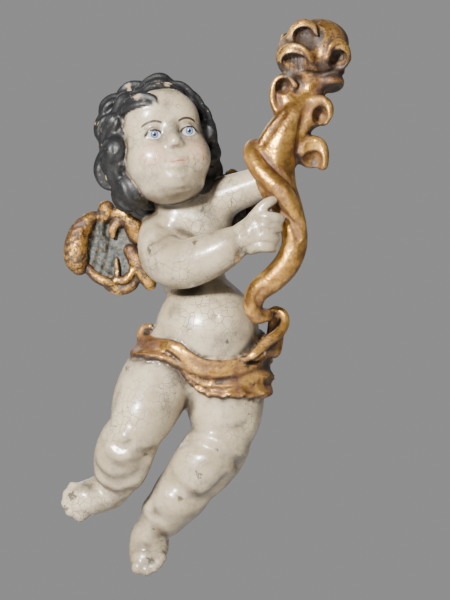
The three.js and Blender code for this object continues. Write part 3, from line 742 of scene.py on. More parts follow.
def modelFolds(clay):
    foldShade = Clay(clay.axes)
    foldShade.field[:] = 0
    for line, share, width in frontFolds:
        spots = onSurface(clay, line, 0.5)
        gouge(clay, spots, figure["valleyDepth"] * share, 2.5 * width)
        gouge(clay, spots, figure["creaseDepth"] * share, 0.75 * width)
        # painted shade along each fold
        gouge(foldShade, spots, figure["foldShadeShare"] * share, figure["foldShadeWidth"])
    for spot, depth, width in bodyDimples:
        gouge(clay, onSurface(clay, [spot], 0.0), depth, width)
    seam, spine = [(12, -84), (12, -104), (12, -124)], [(4, 22), (4, -20), (8, -50)]  # down the back
    gouge(clay, onSurface(clay, seam, side=1), 3.0, 3.0)
    gouge(clay, onSurface(clay, spine, side=1), 1.2, 3.0)
    return foldShade


# the horn of plenty, with a leaf, a winding band, rolled leaf tips and a crown of hooded leaves
horn = {
    "grid": 0.85,  # spacing of the skin, mm
    "rim": 2.3,  # thickness of the carved rims of the hoods
    "veinDepth": 0.9,
    "dome": (27.5, 26, 25.5),  # half sizes of the crown behind its hoods
    # painted shade under the forms and round their edges, and deep under the hoods
    "shadeUnder": 0.3, "shadeEdge": 0.2, "hoodShade": 0.5,
}
hornStations = [
    [57, -66, -60, 5], [50, -68, -60, 6.5], [47, -69, -52, 7.4], [51, -71, -42, 8.4], [62, -74, -33, 9.6],
    [72, -77, -22, 9.8], [77.5, -79, -8, 9.6], [76.5, -80, 6, 9.8], [72.5, -79, 20, 11],
    [66, -77, 33, 13.5], [63, -76, 46, 15.5], [66, -75, 60, 15.8], [71, -73, 71, 15.2], [78, -71, 84, 14.6],
    [85, -69, 96, 12.6], [89, -67, 108, 12.6], [90.5, -66, 120, 15],
]
bandStations = [
    [52, -62, 66, 5], [47, -74, 64, 6.4], [46.5, -83, 58, 6.8], [50.5, -89, 49, 7.2], [57, -92.5, 41, 7.8],
    [67, -94, 31, 8], [75, -91, 20, 7], [81, -85, 9, 5], [84, -79, -1, 3],
]
leafStations = [
    [92, -72, 99, 7], [84, -76, 93, 10.5], [75, -79, 82, 12.8], [67, -80, 70, 14], [59, -79, 61, 12],
    [52, -77, 57, 8],
]
crownAt = np.array([91.0, -65.0, 136.0])
# carved rims that stand over a hollow: points of the rim (x, z), middle of the hollow (x, z),
# its half width and height
hoods = [
    ([(73.4, 144), (77, 152), (84, 155.6), (91.2, 152.6), (94.6, 145.5)], (84.4, 146), (8.4, 7)),
    ([(65, 127), (68.6, 134.6), (76.5, 138), (84.8, 135), (90.2, 127.5)], (77.8, 128.6), (9.8, 7.2)),
    ([(101.4, 129), (104, 137.6), (110, 141.3), (115.6, 137), (117.4, 129.5)], (109.4, 131), (6.8, 7.8)),
]
# leaf tips rolled over: points of the rim (x, z), its thickness and depth, the hollow (x, z) and its
# half sizes, the leaf under it (x, z) and its half sizes
leafTips = [
    ([(66, 88), (61.6, 98), (62, 108.6), (66.8, 115.4), (73.6, 115.6), (78, 110)], 2.3, -80,
     (69.4, 109), (5.4, 5.6, 9), (71, 103), (8.4, 14)),
    ([(80, 84), (84.6, 91.5), (90, 97), (96.6, 99.4), (101.6, 96.6), (103.2, 90.5), (99.6, 84)], 3.3, -81,
     (96.4, 87.5), (5.4, 6.2, 9), (92, 90), (12, 10.4)),
    ([(82, 61), (86, 66.5), (92, 68.5), (97, 66), (99, 59), (98.4, 51.5)], 4.0, -79,
     (91.2, 54), (7, 7.4, 9), (90, 60), (11, 11)),
]


def modelHorn():
    step = horn["grid"]
    axes = (gridAxis(36, 126, step), gridAxis(-106, -34, step), gridAxis(-72, 168, step))
    clay, dark = Clay(axes), []
    tube(clay, hornStations, 0, steps=64)
    tube(clay, leafStations, 4.0, steps=30, flat=1.15)  # the leaf that wraps the upper half
    gouge(clay, onSurface(clay, [(89, 96), (84.5, 86), (81.5, 74), (80, 62), (79.5, 48)], 0.0), 4.4, 2.6)
    gouge(clay, onSurface(clay, [(78, 92), (71, 78), (66, 66), (64, 56)], 0.0), -1.4, 5.0)
    gouge(clay, onSurface(clay, [(70, 88), (61, 76), (54, 66)], 0.5), 1.8, 2.6)
    for rim, thick, depth, hollowAt, half, bodyAt, bodyHalf in leafTips:
        blob(clay, (bodyAt[0], depth + 8, bodyAt[1]), (bodyHalf[0], 10, bodyHalf[1]), 5)
        for inward in (0.5, 5):
            tube(clay, [[x, depth + inward, z, thick] for x, z in rim], 3.5, steps=28)
        x, z = hollowAt
        blob(clay, (x, depth - 1, z), (half[0], half[2], half[1]), 2.0, carve=True)
        dark.append(((x, depth + 1, z), (half[0] * 1.05, 14, half[1] * 1.05)))
    tube(clay, bandStations, 0.8, steps=36)
    modelCrown(clay, dark)
    # a groove where the band crosses the horn, and the turned-up tail
    gouge(clay, onSurface(clay, [(60, 28), (68, 18), (75, 8), (80, -4)], 0.5), 2.0, 1.8)
    gouge(clay, onSurface(clay, [(56, -56), (52, -53), (50, -47), (54, -41)], 0.5), 1.8, 1.6)
    points, quads, normals, hollow, ridge = skinClay(clay)
    # painted shade under the forms and round their edges
    hollow = hollow + paintedShadeUnderAndEdges(normals, horn)
    for middle, half in dark:
        far = np.sqrt((((points - middle) / half) ** 2).sum(1))
        hollow = np.maximum(hollow, horn["hoodShade"] * np.clip((1.15 - far) / 0.5, 0, 1))
    wear = np.clip((points[:, 2] - 96) / 26, 0.1, 0.9)  # the crown is the most worn
    return points, quads, {"hollow": hollow, "ridge": ridge, "wear": wear}


def hoodFront(x, z):
    # depth of the front of the crown at a place seen from the front
    wide, deep, tall = horn["dome"]
    inside = max(0.0, 1 - ((x - crownAt[0]) / wide) ** 2 - ((z - crownAt[2]) / tall) ** 2)
    return crownAt[1] - deep * math.sqrt(inside)


def modelCrown(clay, dark):
    x, y, z = crownAt
    blob(clay, (x - 1, y, z - 3), (26, 25, 22), 4)
    blob(clay, (x + 5, y, z + 6), (22.5, 22, 18.5), 4)
    for _, (hx, hz), half in hoods:
        blob(clay, (hx, hoodFront(hx, hz + 2) + 6, hz + 1), (half[0] + 3, 10, half[1] + 4), 5)
    for rim, (hx, hz), half in hoods:
        deep = hoodFront(hx, hz)
        # the hollow is deepest under the rim and runs out downwards
        blob(clay, (hx, deep - 1, hz - 3), (half[0], 6, half[1] + 4), 1.4, turnMatrix(0, 0, -28), carve=True)
        dark.append(((hx, deep + 1, hz + 1), (half[0], 9, half[1] * 0.8)))
        for inward in (0, 3):
            rows = []
            for n, (rx, rz) in enumerate(rim):
                end = abs(2 * n / (len(rim) - 1) - 1)  # 1 at the ends of the rim, 0 in its middle
                depth = min(hoodFront(rx, rz), deep + 4) - 1.8 + inward + 2.5 * end
                rows.append([rx, depth, rz, horn["rim"] * (1.1 - 0.35 * end)])
            tube(clay, rows, 2.2, steps=24)
        for n in (-2, -1, 0, 1, 2):  # fibres cut into the floor of each hollow
            at = hx + n * half[0] * 0.36
            line = [(hx + (at - hx) * 0.8, hz + half[1] * 0.2), (at, hz - half[1] * 1.5)]
            gouge(clay, onSurface(clay, line, 0.0), horn["veinDepth"], 0.9)
    gouge(clay, onSurface(clay, [(96, 150), (94, 140), (95, 128), (98, 118)], 0.0), 2.2, 2.4)
    gouge(clay, onSurface(clay, [(62, 127), (72, 120.5), (84, 119), (98, 118), (110, 121)], 0.0), 2.2, 2.2)
    blob(clay, (105, -66, 113), (10, 17, 8), 4)  # turned-down lip at the right of the neck
    blob(clay, (107, -74, 106), (8, 12, 5.5), 2, carve=True)
    # the same hoods carried round the sides and back
    for row, (foot, reach, tall) in enumerate(((-15, 22, 13), (1, 20.5, 12))):
        for n in range(3):
            middle = math.radians(20 + 55 * n + 18 * row)
            far = reach + 6.5
            hollowSpot = (x + far * math.cos(middle), y + far * math.sin(middle), z + foot + tall * 0.3)
            blob(clay, hollowSpot, (7.5, 7.5, 6), 3, carve=True)
            rows = []
            for s in range(7):
                arc = math.pi * s / 6
                turn = middle + math.cos(arc) * 0.4
                out = reach + 2 * math.sin(arc)
                high = z + foot + tall * math.sin(arc)
                rows.append([x + out * math.cos(turn), y + out * math.sin(turn), high, 2.4])
            tube(clay, rows, 2.0, steps=18)


# the wings: a painted plate with gilded rolls round it
wing = {
    "grid": 0.85,  # spacing of the skin, mm
    "back": -1.5, "plate": 6.0,  # back of the plate, and how far its rim comes forward
    "right": ((-64, -8, -11), 1, 1), "left": ((31, -7, 19), -1, 0.85),  # middle, side, size
}
# gilded rolls: rows of x, y, z, radius measured from the wing's middle, x outwards from the body
wingRolls = [
    [[6, -5, 27, 3], [13, -6, 24, 5.5], [20, -7, 15, 8], [23.5, -7, 4, 9], [23.5, -7, -6, 9],
     [21, -6, -12.5, 6.5]],  # outer lobe
    [[0.5, -6, 32, 6.4], [1.5, -5, 27, 6]],  # knob
    [[-6, -5, 28, 5], [-13, -6, 28, 6.4], [-20, -6, 21, 7.6], [-24, -5, 11, 7]],  # shoulder lobe
    [[-13, -6, 22, 3.4], [-8, -7, 21, 4], [-4.6, -7, 16, 3.4], [-5, -6, 11, 2.2]],  # curl under it
    [[15, -6, -13, 2.8], [9, -6.5, -19, 3.3], [1, -7, -23.5, 3.6], [-5.5, -6, -24.6, 3.2]],  # first scallop
    [[-7, -6, -22, 3], [-13, -7, -23, 3.4], [-18, -7, -19, 3.3], [-20.4, -7, -13, 3], [-18.4, -6, -8, 2.2]],
    [[-7.5, -5, -6, 1.4], [-8, -6, -18, 2.4]],  # rib between the scallops
    # lobe behind the scallops
    [[-2, -3, -27.4, 4], [-10, -3, -29.6, 4.6], [-18, -3, -27, 4.6], [-22, -3, -22, 4]],
    [[-18, -5, 0, 5], [-23, -6, -9, 6], [-28, -5, -18, 6.2], [-33, -4, -25.5, 5]],  # inner feather
]
# the painted hollow between the rolls: middle x, z and half sizes
wingField = (-4.0, -0.5, 25.0, 28.0)


def modelWing(at, side, size):
    step = wing["grid"]
    x0, y0, z0 = at
    axes = (gridAxis(x0 - 56, x0 + 56, step), gridAxis(-26, 3, step), gridAxis(z0 - 44, z0 + 48, step))
    clay, rolls = Clay(axes), Clay(axes)
    # the wing's own directions: x outwards from the body, z up
    x = (x0 - axes[0][:, None, None]) * side / size
    z = (axes[2][None, None, :] - z0) / size
    y = axes[1][None, :, None]
    mx, mz, rx, rz = wingField
    share = np.sqrt(((x - mx) / rx) ** 2 + ((z - mz) / rz) ** 2)
    ripple = 0.55 * np.sin(0.9 * x + 0.25 * z) + 0.5 * np.sin(0.55 * x - 0.75 * z + 1)
    rib = 2.6 * np.exp(-((x - 2.5 - 0.12 * (z - 8)) / 2.2) ** 2) * np.clip((z + 12) / 20, 0, 1)
    front = y0 - wing["plate"] * np.clip(share, 0, 1.05) ** 2 - 1.0 - rib - ripple * (share < 0.9)
    plate = np.maximum(np.maximum(front - y, y - wing["back"]), (share - 1.0) * 20)
    clay.add(Clay.everywhere, plate.astype(np.float32), 0)
    for rows in wingRolls:
        placed = [[x0 - side * a * size, y0 + b * size, z0 + c * size, radius * size]
                  for a, b, c, radius in rows]
        tube(rolls, placed, 0.4, steps=6 * len(rows))
    clay.add(Clay.everywhere, rolls.field, 1.2)
    if size == 1:  # the smaller wing shows only its top
        for n in range(7):  # quills cut into the outer lobe
            up = z0 + 20 - 5.5 * n
            gouge(clay, onSurface(clay, [(x0 - 16, up), (x0 - 23, up - 2), (x0 - 31, up - 6)]), 0.7, 0.9)
    root = [[x0 + side * 14, y0 + 1, z0 + 4, 14], [x0 + side * 44, y0 - 1, z0 + 12, 14]]
    tube(clay, root, 2, flat=3.2)
    clay.field = np.maximum(clay.field, y).astype(np.float32)  # nothing behind the wall plane
    for last in (0, -1):
        clay.field[last, :, :] = clay.field[:, last, :] = clay.field[:, :, last] = farAway
    points, quads, _, hollow, ridge = skinClay(clay)
    gilt = np.clip(0.5 + (1.0 - rolls.sample(points)) / 2.0, 0, 1)
    px, pz = (x0 - points[:, 0]) * side / size, (points[:, 2] - z0) / size
    outside = ((px - mx) / rx) ** 2 + ((pz - mz) / rz) ** 2 > 1
    gilt = np.maximum(gilt, (points[:, 1] > y0 + 3) | outside)
    return points, quads, {"hollow": hollow, "ridge": ridge, "gilt": gilt}


# finishes: paint, leaf and wear as shader groups
def paint(r, g, b):
    # a mixed colour given as 0 to 255
    channel = lambda c: c / 12.92 if c <= 0.04045 else ((c + 0.055) / 1.055) ** 2.4
    return (channel(r / 255), channel(g / 255), channel(b / 255), 1.0)


class Wiring:
    # shorthand for building a node tree
    def __init__(self, tree):
        self.tree = tree
        self.made = 0

    def node(self, kind, **settings):
        new = self.tree.nodes.new(kind)
        new.location = (200 * (self.made // 6), -190 * (self.made % 6))
        self.made += 1
        for key, value in settings.items():
            setattr(new, key, value)
        return new

    def put(self, socket, value):
        if isinstance(value, bpy.types.NodeSocket):
            self.tree.links.new(value, socket)
        else:
            socket.default_value = value

    def math(self, operation, a, b=None):
        new = self.node("ShaderNodeMath", operation=operation)
        self.put(new.inputs[0], a)
        if b is not None:
            self.put(new.inputs[1], b)
        return new.outputs[0]

    def plus(self, a, b):
        return self.math("ADD", a, b)

    def minus(self, a, b):
        return self.math("SUBTRACT", a, b)

    def times(self, a, b):
        return self.math("MULTIPLY", a, b)

    def over(self, a, b):
        return self.math("DIVIDE", a, b)

    def size(self, a):
        return self.math("ABSOLUTE", a)

    def blend(self, share, a, b):
        new = self.node("ShaderNodeMix", data_type="RGBA")
        self.put(new.inputs[0], share)
        self.put(new.inputs[6], a)
        self.put(new.inputs[7], b)
        return new.outputs[2]

    def mix(self, share, a, b):
        new = self.node("ShaderNodeMix", data_type="FLOAT")
        self.put(new.inputs[0], share)
        self.put(new.inputs[2], a)
        self.put(new.inputs[3], b)
        return new.outputs[0]

    def noise(self, vector, scale, detail=3.0, rough=0.5):
        new = self.node("ShaderNodeTexNoise")
        self.put(new.inputs["Vector"], vector)
        for key, value in (("Scale", scale), ("Detail", detail), ("Roughness", rough)):
            new.inputs[key].default_value = value
        return new.outputs["Fac"]

    def cells(self, vector, scale, feature="DISTANCE_TO_EDGE"):
        new = self.node("ShaderNodeTexVoronoi", feature=feature)
        self.put(new.inputs["Vector"], vector)
        new.inputs["Scale"].default_value = scale
        return new.outputs["Distance"]

    def patches(self, vector, scale, detail, rough, low, high):
        # soft-edged patches cut out of a noise between two levels
        return self.step(self.noise(vector, scale, detail, rough), low, high)

    def coat(self, under, share, strength, colour):
        # a thin coat of colour over what is there
        return self.blend(self.times(share, strength), under, colour)

    def step(self, value, low, high, bottom=0.0, top=1.0):
        new = self.node("ShaderNodeMapRange", interpolation_type="SMOOTHSTEP")
        for n, v in enumerate((value, low, high, bottom, top)):
            self.put(new.inputs[n], v)
        return new.outputs[0]

    def jitter(self, vector, scale, amount):
        # the coordinates pushed about a little, so that lines wander
        cloud = self.node("ShaderNodeTexNoise")
        self.put(cloud.inputs["Vector"], vector)
        cloud.inputs["Scale"].default_value = scale
        push = self.node("ShaderNodeVectorMath", operation="MULTIPLY_ADD")
        self.put(push.inputs[0], cloud.outputs["Color"])
        push.inputs[1].default_value = (amount,) * 3
        self.put(push.inputs[2], vector)
        return push.outputs[0]

    def along(self, vector, axis):
        new = self.node("ShaderNodeVectorMath", operation="DOT_PRODUCT")
        self.put(new.inputs[0], vector)
        new.inputs[1].default_value = [float(v) for v in axis]
        return new.outputs["Value"]


def finishGroup(name, inputs, outputs):
    tree = bpy.data.node_groups.new(name, "ShaderNodeTree")
    kinds = {"v": "NodeSocketVector", "f": "NodeSocketFloat", "c": "NodeSocketColor"}
    for label, kind in inputs:
        tree.interface.new_socket(name=label, in_out="INPUT", socket_type=kinds[kind])
    for label, kind in outputs:
        tree.interface.new_socket(name=label, in_out="OUTPUT", socket_type=kinds[kind])
    w = Wiring(tree)
    return w, w.node("NodeGroupInput").outputs, w.node("NodeGroupOutput").inputs


fleshPaint = {
    "light": paint(172, 158, 132), "mid": paint(140, 126, 101), "grey": paint(100, 92, 79),
    "dirtAndShade": paint(52, 40, 28), "crack": paint(58, 45, 32), "speck": paint(30, 25, 20),
    "cellsPerMetre": 165, "crackWide": 0.032,
    "bump": 0.0007, "varnish": 0.55, "varnishRough": 0.2, "wetRough": 0.15,
}
goldLeaf = {
    "gold": paint(172, 128, 64), "pale": paint(236, 184, 96), "brown": paint(88, 58, 34),
    "bole": paint(72, 40, 26), "dirtAndShade": paint(30, 22, 16),
    "bump": 0.0009, "wearOnCloth": 0.45, "wearOnWings": 1.3,
}
hairPaint = {
    "black": paint(6, 7, 10), "greyer": paint(27, 28, 33), "bare": paint(140, 122, 98),
}
wingPaint = {
    "blue": paint(58, 65, 64), "dark": paint(18, 20, 20), "gold": paint(92, 76, 50),
    "pale": paint(120, 117, 106),
    "bump": 0.0014,
}
facePaint = {
    "blush": paint(196, 132, 104), "lips": paint(160, 108, 90), "parting": paint(96, 46, 38),
    "nostril": paint(110, 58, 44), "white": paint(176, 170, 160), "iris": paint(92, 116, 164),
    "irisRim": paint(26, 34, 56), "pupil": paint(14, 14, 18), "glint": paint(240, 240, 238),
    "lash": paint(30, 22, 20), "brow": paint(44, 30, 26),
}


def crackleWeb():
    w, given, out = finishGroup("crackleWeb", [("Vector", "v")], [("Line", "f")])
    spot = w.jitter(given["Vector"], 90.0, 0.004)
    wide = w.step(w.cells(spot, fleshPaint["cellsPerMetre"]), 0.0, fleshPaint["crackWide"], 1.0, 0.0)
    fineWide = fleshPaint["crackWide"] * 1.6
    fine = w.step(w.cells(spot, fleshPaint["cellsPerMetre"] * 2.3), 0.0, fineWide, 1.0, 0.0)
    where = w.step(w.noise(given["Vector"], 30.0, 3.0), 0.46, 0.6)
    whereFine = w.step(w.noise(given["Vector"], 47.0, 3.0), 0.5, 0.66)
    both = w.math("MAXIMUM", w.times(wide, w.mix(where, 0.3, 1.0)),
                  w.times(fine, w.times(whereFine, 0.6)))
    w.put(out["Line"], both)
    return w.tree


def useGroup(w, tree, **given):
    new = w.node("ShaderNodeGroup", node_tree=tree)
    for key, value in given.items():
        w.put(new.inputs[key], value)
    return new.outputs


def agedFlesh():
    sockets = [("Vector", "v"), ("Hollow", "f"), ("Ridge", "f"), ("Chip", "f")]
    outputs = [("Color", "c"), ("Roughness", "f"), ("Height", "f")]
    w, given, out = finishGroup("agedFlesh", sockets, outputs)
    spot = given["Vector"]
    web = useGroup(w, crackleWeb(), Vector=spot)["Line"]
    tone = w.blend(w.patches(spot, 16.0, 4.0, 0.6, 0.3, 0.66), fleshPaint["mid"], fleshPaint["light"])
    tone = w.coat(tone, w.patches(spot, 48.0, 5.0, 0.65, 0.46, 0.72), 0.7, fleshPaint["grey"])
    # lighter on the ridges: wear, and a painted highlight
    tone = w.coat(tone, w.step(given["Ridge"], 0.5, 1.1), 0.5, fleshPaint["light"])
    cloud = w.noise(spot, 85.0, 5.0, 0.7)
    # dirt, and painted shade in the hollows, folds, undersides and edges
    grimeAndShade = w.step(w.plus(given["Hollow"], w.times(w.minus(cloud, 0.5), 0.5)), 0.1, 0.6)
    tone = w.coat(tone, grimeAndShade, 0.9, fleshPaint["dirtAndShade"])
    tone = w.coat(tone, w.patches(spot, 25.0, 6.0, 0.75, 0.54, 0.7), 0.36, fleshPaint["dirtAndShade"])
    tone = w.coat(tone, web, 0.78, fleshPaint["crack"])
    speck = w.step(w.cells(w.jitter(spot, 200.0, 0.002), 170.0, "F1"), 0.07, 0.13, 1.0, 0.0)
    speck = w.times(speck, w.patches(spot, 33.0, 2.0, 0.5, 0.5, 0.58))
    tone = w.coat(tone, speck, 0.8, fleshPaint["speck"])
    chip = w.step(w.plus(w.times(given["Chip"], 0.5), w.noise(spot, 420.0, 4.0, 0.7)), 0.86, 0.94)
    tone = w.coat(tone, chip, 0.75, fleshPaint["speck"])
    w.put(out["Color"], tone)
    w.put(out["Roughness"], w.plus(w.mix(w.noise(spot, 55.0, 4.0), 0.24, 0.44), w.times(grimeAndShade, 0.25)))
    lumps = w.plus(w.times(w.noise(spot, 120.0, 3.0), 0.6), w.times(w.noise(spot, 520.0, 2.0), 0.12))
    w.put(out["Height"], w.minus(lumps, w.times(web, 0.3)))
    return w.tree


def wornGilding():
    sockets = [("Vector", "v"), ("Hollow", "f"), ("Ridge", "f"), ("Wear", "f")]
    outputs = [("Color", "c"), ("Metal", "f"), ("Roughness", "f"), ("Height", "f")]
    w, given, out = finishGroup("wornGilding", sockets, outputs)
    spot, sunk, wear = given["Vector"], given["Hollow"], given["Wear"]
    leaf = w.blend(w.patches(spot, 32.0, 4.0, 0.6, 0.32, 0.68), goldLeaf["gold"], goldLeaf["pale"])
    leaf = w.coat(leaf, w.patches(spot, 24.0, 5.0, 0.7, 0.4, 0.6), 0.85, goldLeaf["brown"])
    # paler on the ridges: a painted highlight
    leaf = w.coat(leaf, w.step(given["Ridge"], 0.35, 0.9), 0.6, goldLeaf["pale"])
    # bole where the leaf is rubbed through, and as painted shade in the hollows
    rubbed = w.plus(w.noise(spot, 75.0, 5.0, 0.7), w.times(sunk, 0.85))
    rubbed = w.step(w.plus(rubbed, w.times(wear, 0.1)), 0.55, 0.76)
    # dirt, and painted shade in the hollows
    grimeAndShade = w.plus(w.noise(spot, 150.0, 5.0, 0.75), w.times(sunk, 0.7))
    grimeAndShade = w.step(w.plus(grimeAndShade, w.times(wear, 0.26)), 0.8, 0.98)
    tone = w.coat(leaf, rubbed, 0.8, goldLeaf["bole"])
    tone = w.coat(tone, grimeAndShade, 0.85, goldLeaf["dirtAndShade"])
    fleck = w.step(w.noise(spot, 520.0, 4.0, 0.75), w.mix(wear, 0.68, 0.52), w.mix(wear, 0.74, 0.62))
    tone = w.coat(tone, fleck, 0.8, goldLeaf["dirtAndShade"])
    lost = w.math("MAXIMUM", rubbed, grimeAndShade)
    w.put(out["Color"], tone)
    w.put(out["Metal"], w.mix(lost, 0.9, 0.15))
    w.put(out["Roughness"], w.plus(w.mix(w.noise(spot, 95.0, 4.0), 0.24, 0.46), w.times(lost, 0.25)))
    relief = w.plus(w.times(w.noise(spot, 110.0, 4.0, 0.6), 0.8), w.times(w.noise(spot, 480.0, 3.0), 0.25))
    w.put(out["Height"], w.minus(relief, w.times(lost, 0.2)))
    return w.tree


def wornHair():
    sockets = [("Vector", "v"), ("Hollow", "f"), ("Ridge", "f"), ("Wear", "f")]
    outputs = [("Color", "c"), ("Roughness", "f"), ("Height", "f")]
    w, given, out = finishGroup("wornHair", sockets, outputs)
    spot = given["Vector"]
    cloud = w.noise(spot, 85.0, 5.0, 0.7)
    # greyer on the ridges, staying black in the hollows
    high = w.minus(given["Ridge"], w.times(given["Hollow"], 0.6))
    greyer = w.step(w.plus(high, w.times(cloud, 0.7)), 0.62, 1.1)
    tone = w.coat(hairPaint["black"], greyer, 0.75, hairPaint["greyer"])
    tone = w.coat(tone, w.patches(spot, 340.0, 4.0, 0.75, 0.6, 0.72), 0.45, hairPaint["bare"])
    bare = w.step(w.plus(w.plus(high, cloud), w.times(given["Wear"], 0.75)), 1.14, 1.4)
    tone = w.coat(tone, bare, 0.9, hairPaint["bare"])
    w.put(out["Color"], tone)
    w.put(out["Roughness"], w.mix(bare, 0.56, 0.66))
    w.put(out["Height"], w.minus(w.times(w.noise(spot, 260.0, 4.0), 0.6), w.times(bare, 0.25)))
    return w.tree


def faceColours():
    # painted eyes, brows, lips and blush, placed in the head's own directions
    sockets, outputs = [("Vector", "v"), ("Color", "c")], [("Color", "c"), ("Wet", "f")]
    w, given, out = finishGroup("faceColours", sockets, outputs)
    scaled = w.node("ShaderNodeVectorMath", operation="MULTIPLY_ADD")
    w.put(scaled.inputs[0], given["Vector"])
    scaled.inputs[1].default_value = (1 / mm,) * 3
    scaled.inputs[2].default_value = [-float(v) for v in headAt]
    x, y, z = (w.along(scaled.outputs[0], headTurn[:, k]) for k in range(3))
    facing = w.step(y, -24.0, -20.0, 1.0, 0.0)

    def oval(dx, dz, wide, tall, soft):
        # 1 inside the oval and 0 outside it, and how far out each place is
        dx, dz = w.over(dx, wide), w.over(dz, tall)
        far = w.plus(w.times(dx, dx), w.times(dz, dz))
        return w.times(w.step(far, 1 - soft, 1 + soft, 1.0, 0.0), facing), far

    def coat(tone, share, strength, colour):
        return w.coat(tone, share, strength, facePaint[colour])

    # u and v are measured from the middle of the nearer eye
    u = w.minus(x, w.times(w.math("SIGN", x), face["eyeApart"]))
    v = w.minus(z, face["eyeHeight"])
    mouth, mouthWide = face["mouthHeight"], face["mouthWide"]
    blush, _ = oval(w.minus(w.size(x), 17.5), w.plus(z, 12.5), 10.0, 8.5, 0.95)
    tone = coat(given["Color"], blush, 0.2, "blush")
    lips, _ = oval(x, w.minus(z, mouth - 0.6), mouthWide + 0.4, 3.7, 0.3)
    tone = coat(tone, lips, 0.4, "lips")
    parting, _ = oval(x, w.minus(z, mouth - 0.5), mouthWide, 0.5, 0.4)
    tone = coat(tone, parting, 0.7, "parting")
    nostril, _ = oval(w.minus(w.size(x), 2.2), w.plus(z, 10.4), 1.1, 0.8, 0.4)
    tone = coat(tone, nostril, 0.6, "nostril")
    white, far = oval(u, v, 5.4, 3.3, 0.1)
    tone = w.blend(white, tone, facePaint["white"])
    du, dv = w.minus(u, 0.5), w.minus(v, 0.5)
    iris, farIris = oval(du, dv, face["irisWide"], face["irisWide"], 0.12)
    irisTone = w.blend(w.step(farIris, 0.45, 0.9), facePaint["iris"], facePaint["irisRim"])
    tone = w.blend(w.times(iris, white), tone, irisTone)
    pupil, _ = oval(du, dv, face["pupilWide"], face["pupilWide"], 0.2)
    tone = coat(tone, pupil, white, "pupil")
    glint, _ = oval(w.plus(du, 0.9), w.minus(dv, 1.1), 0.55, 0.55, 0.3)
    tone = coat(tone, glint, white, "glint")
    lash = w.times(w.step(far, 0.76, 0.92), w.step(far, 1.5, 1.85, 1.0, 0.0))
    lash = w.times(w.times(lash, facing), w.step(v, -1.2, 1.0, 0.35, 1.0))
    tone = w.blend(lash, tone, facePaint["lash"])
    arch = w.minus(w.minus(v, face["browHeight"]), w.times(w.times(u, u), face["browBend"]))
    brow = w.times(w.step(w.size(arch), 0.65, 1.15, 1.0, 0.0), w.step(w.size(u), 6.5, 8.0, 1.0, 0.0))
    tone = coat(tone, w.times(brow, facing), 0.95, "brow")
    w.put(out["Color"], tone)
    w.put(out["Wet"], white)
    return w.tree


def newMaterial(name):
    material = bpy.data.materials.new(name)
    material.use_nodes = True
    material.node_tree.nodes.clear()
    w = Wiring(material.node_tree)
    shader = w.node("ShaderNodeBsdfPrincipled")
    w.put(w.node("ShaderNodeOutputMaterial").inputs["Surface"], shader.outputs[0])
    spot = w.node("ShaderNodeTexCoord").outputs["Object"]
    mark = lambda label: w.node("ShaderNodeAttribute", attribute_name=label).outputs["Fac"]
    return material, w, shader.inputs, spot, mark


def bumpFrom(w, height, metres):
    bump = w.node("ShaderNodeBump")
    bump.inputs["Distance"].default_value = metres
    w.put(bump.inputs["Height"], height)
    return bump.outputs[0]


gildingTree = wornGilding()


def paintedFigureMaterial():
    material, w, shader, spot, mark = newMaterial("paintedCarving")
    hollow, ridge, hair, gilt = mark("hollow"), mark("ridge"), mark("hair"), mark("gilt")
    flesh = useGroup(w, agedFlesh(), Vector=spot, Hollow=hollow, Ridge=ridge, Chip=mark("chip"))
    gold = useGroup(w, gildingTree, Vector=spot, Hollow=hollow, Ridge=ridge, Wear=goldLeaf["wearOnCloth"])
    black = useGroup(w, wornHair(), Vector=spot, Hollow=hollow, Ridge=ridge, Wear=mark("rubbed"))
    features = useGroup(w, faceColours(), Vector=spot, Color=flesh["Color"])
    colour = w.blend(gilt, features["Color"], gold["Color"])
    w.put(shader["Base Color"], w.blend(hair, colour, black["Color"]))
    bare = w.minus(1.0, hair)
    w.put(shader["Metallic"], w.times(w.times(gilt, bare), gold["Metal"]))
    rough = w.mix(features["Wet"], flesh["Roughness"], fleshPaint["wetRough"])
    w.put(shader["Roughness"], w.mix(hair, w.mix(gilt, rough, gold["Roughness"]), black["Roughness"]))
    height = w.mix(hair, w.mix(gilt, flesh["Height"], gold["Height"]), black["Height"])
    w.put(shader["Normal"], bumpFrom(w, height, fleshPaint["bump"]))
    w.put(shader["Coat Weight"], w.mix(w.math("MAXIMUM", hair, gilt), fleshPaint["varnish"], 0.04))
    shader["Coat Roughness"].default_value = fleshPaint["varnishRough"]
    return material


def gildedMaterial():
    material, w, shader, spot, mark = newMaterial("gildedCarving")
    gold = useGroup(w, gildingTree, Vector=spot, Hollow=mark("hollow"), Ridge=mark("ridge"),
                    Wear=mark("wear"))
    w.put(shader["Base Color"], gold["Color"])
    w.put(shader["Metallic"], gold["Metal"])
    w.put(shader["Roughness"], gold["Roughness"])
    w.put(shader["Normal"], bumpFrom(w, gold["Height"], goldLeaf["bump"]))
    return material


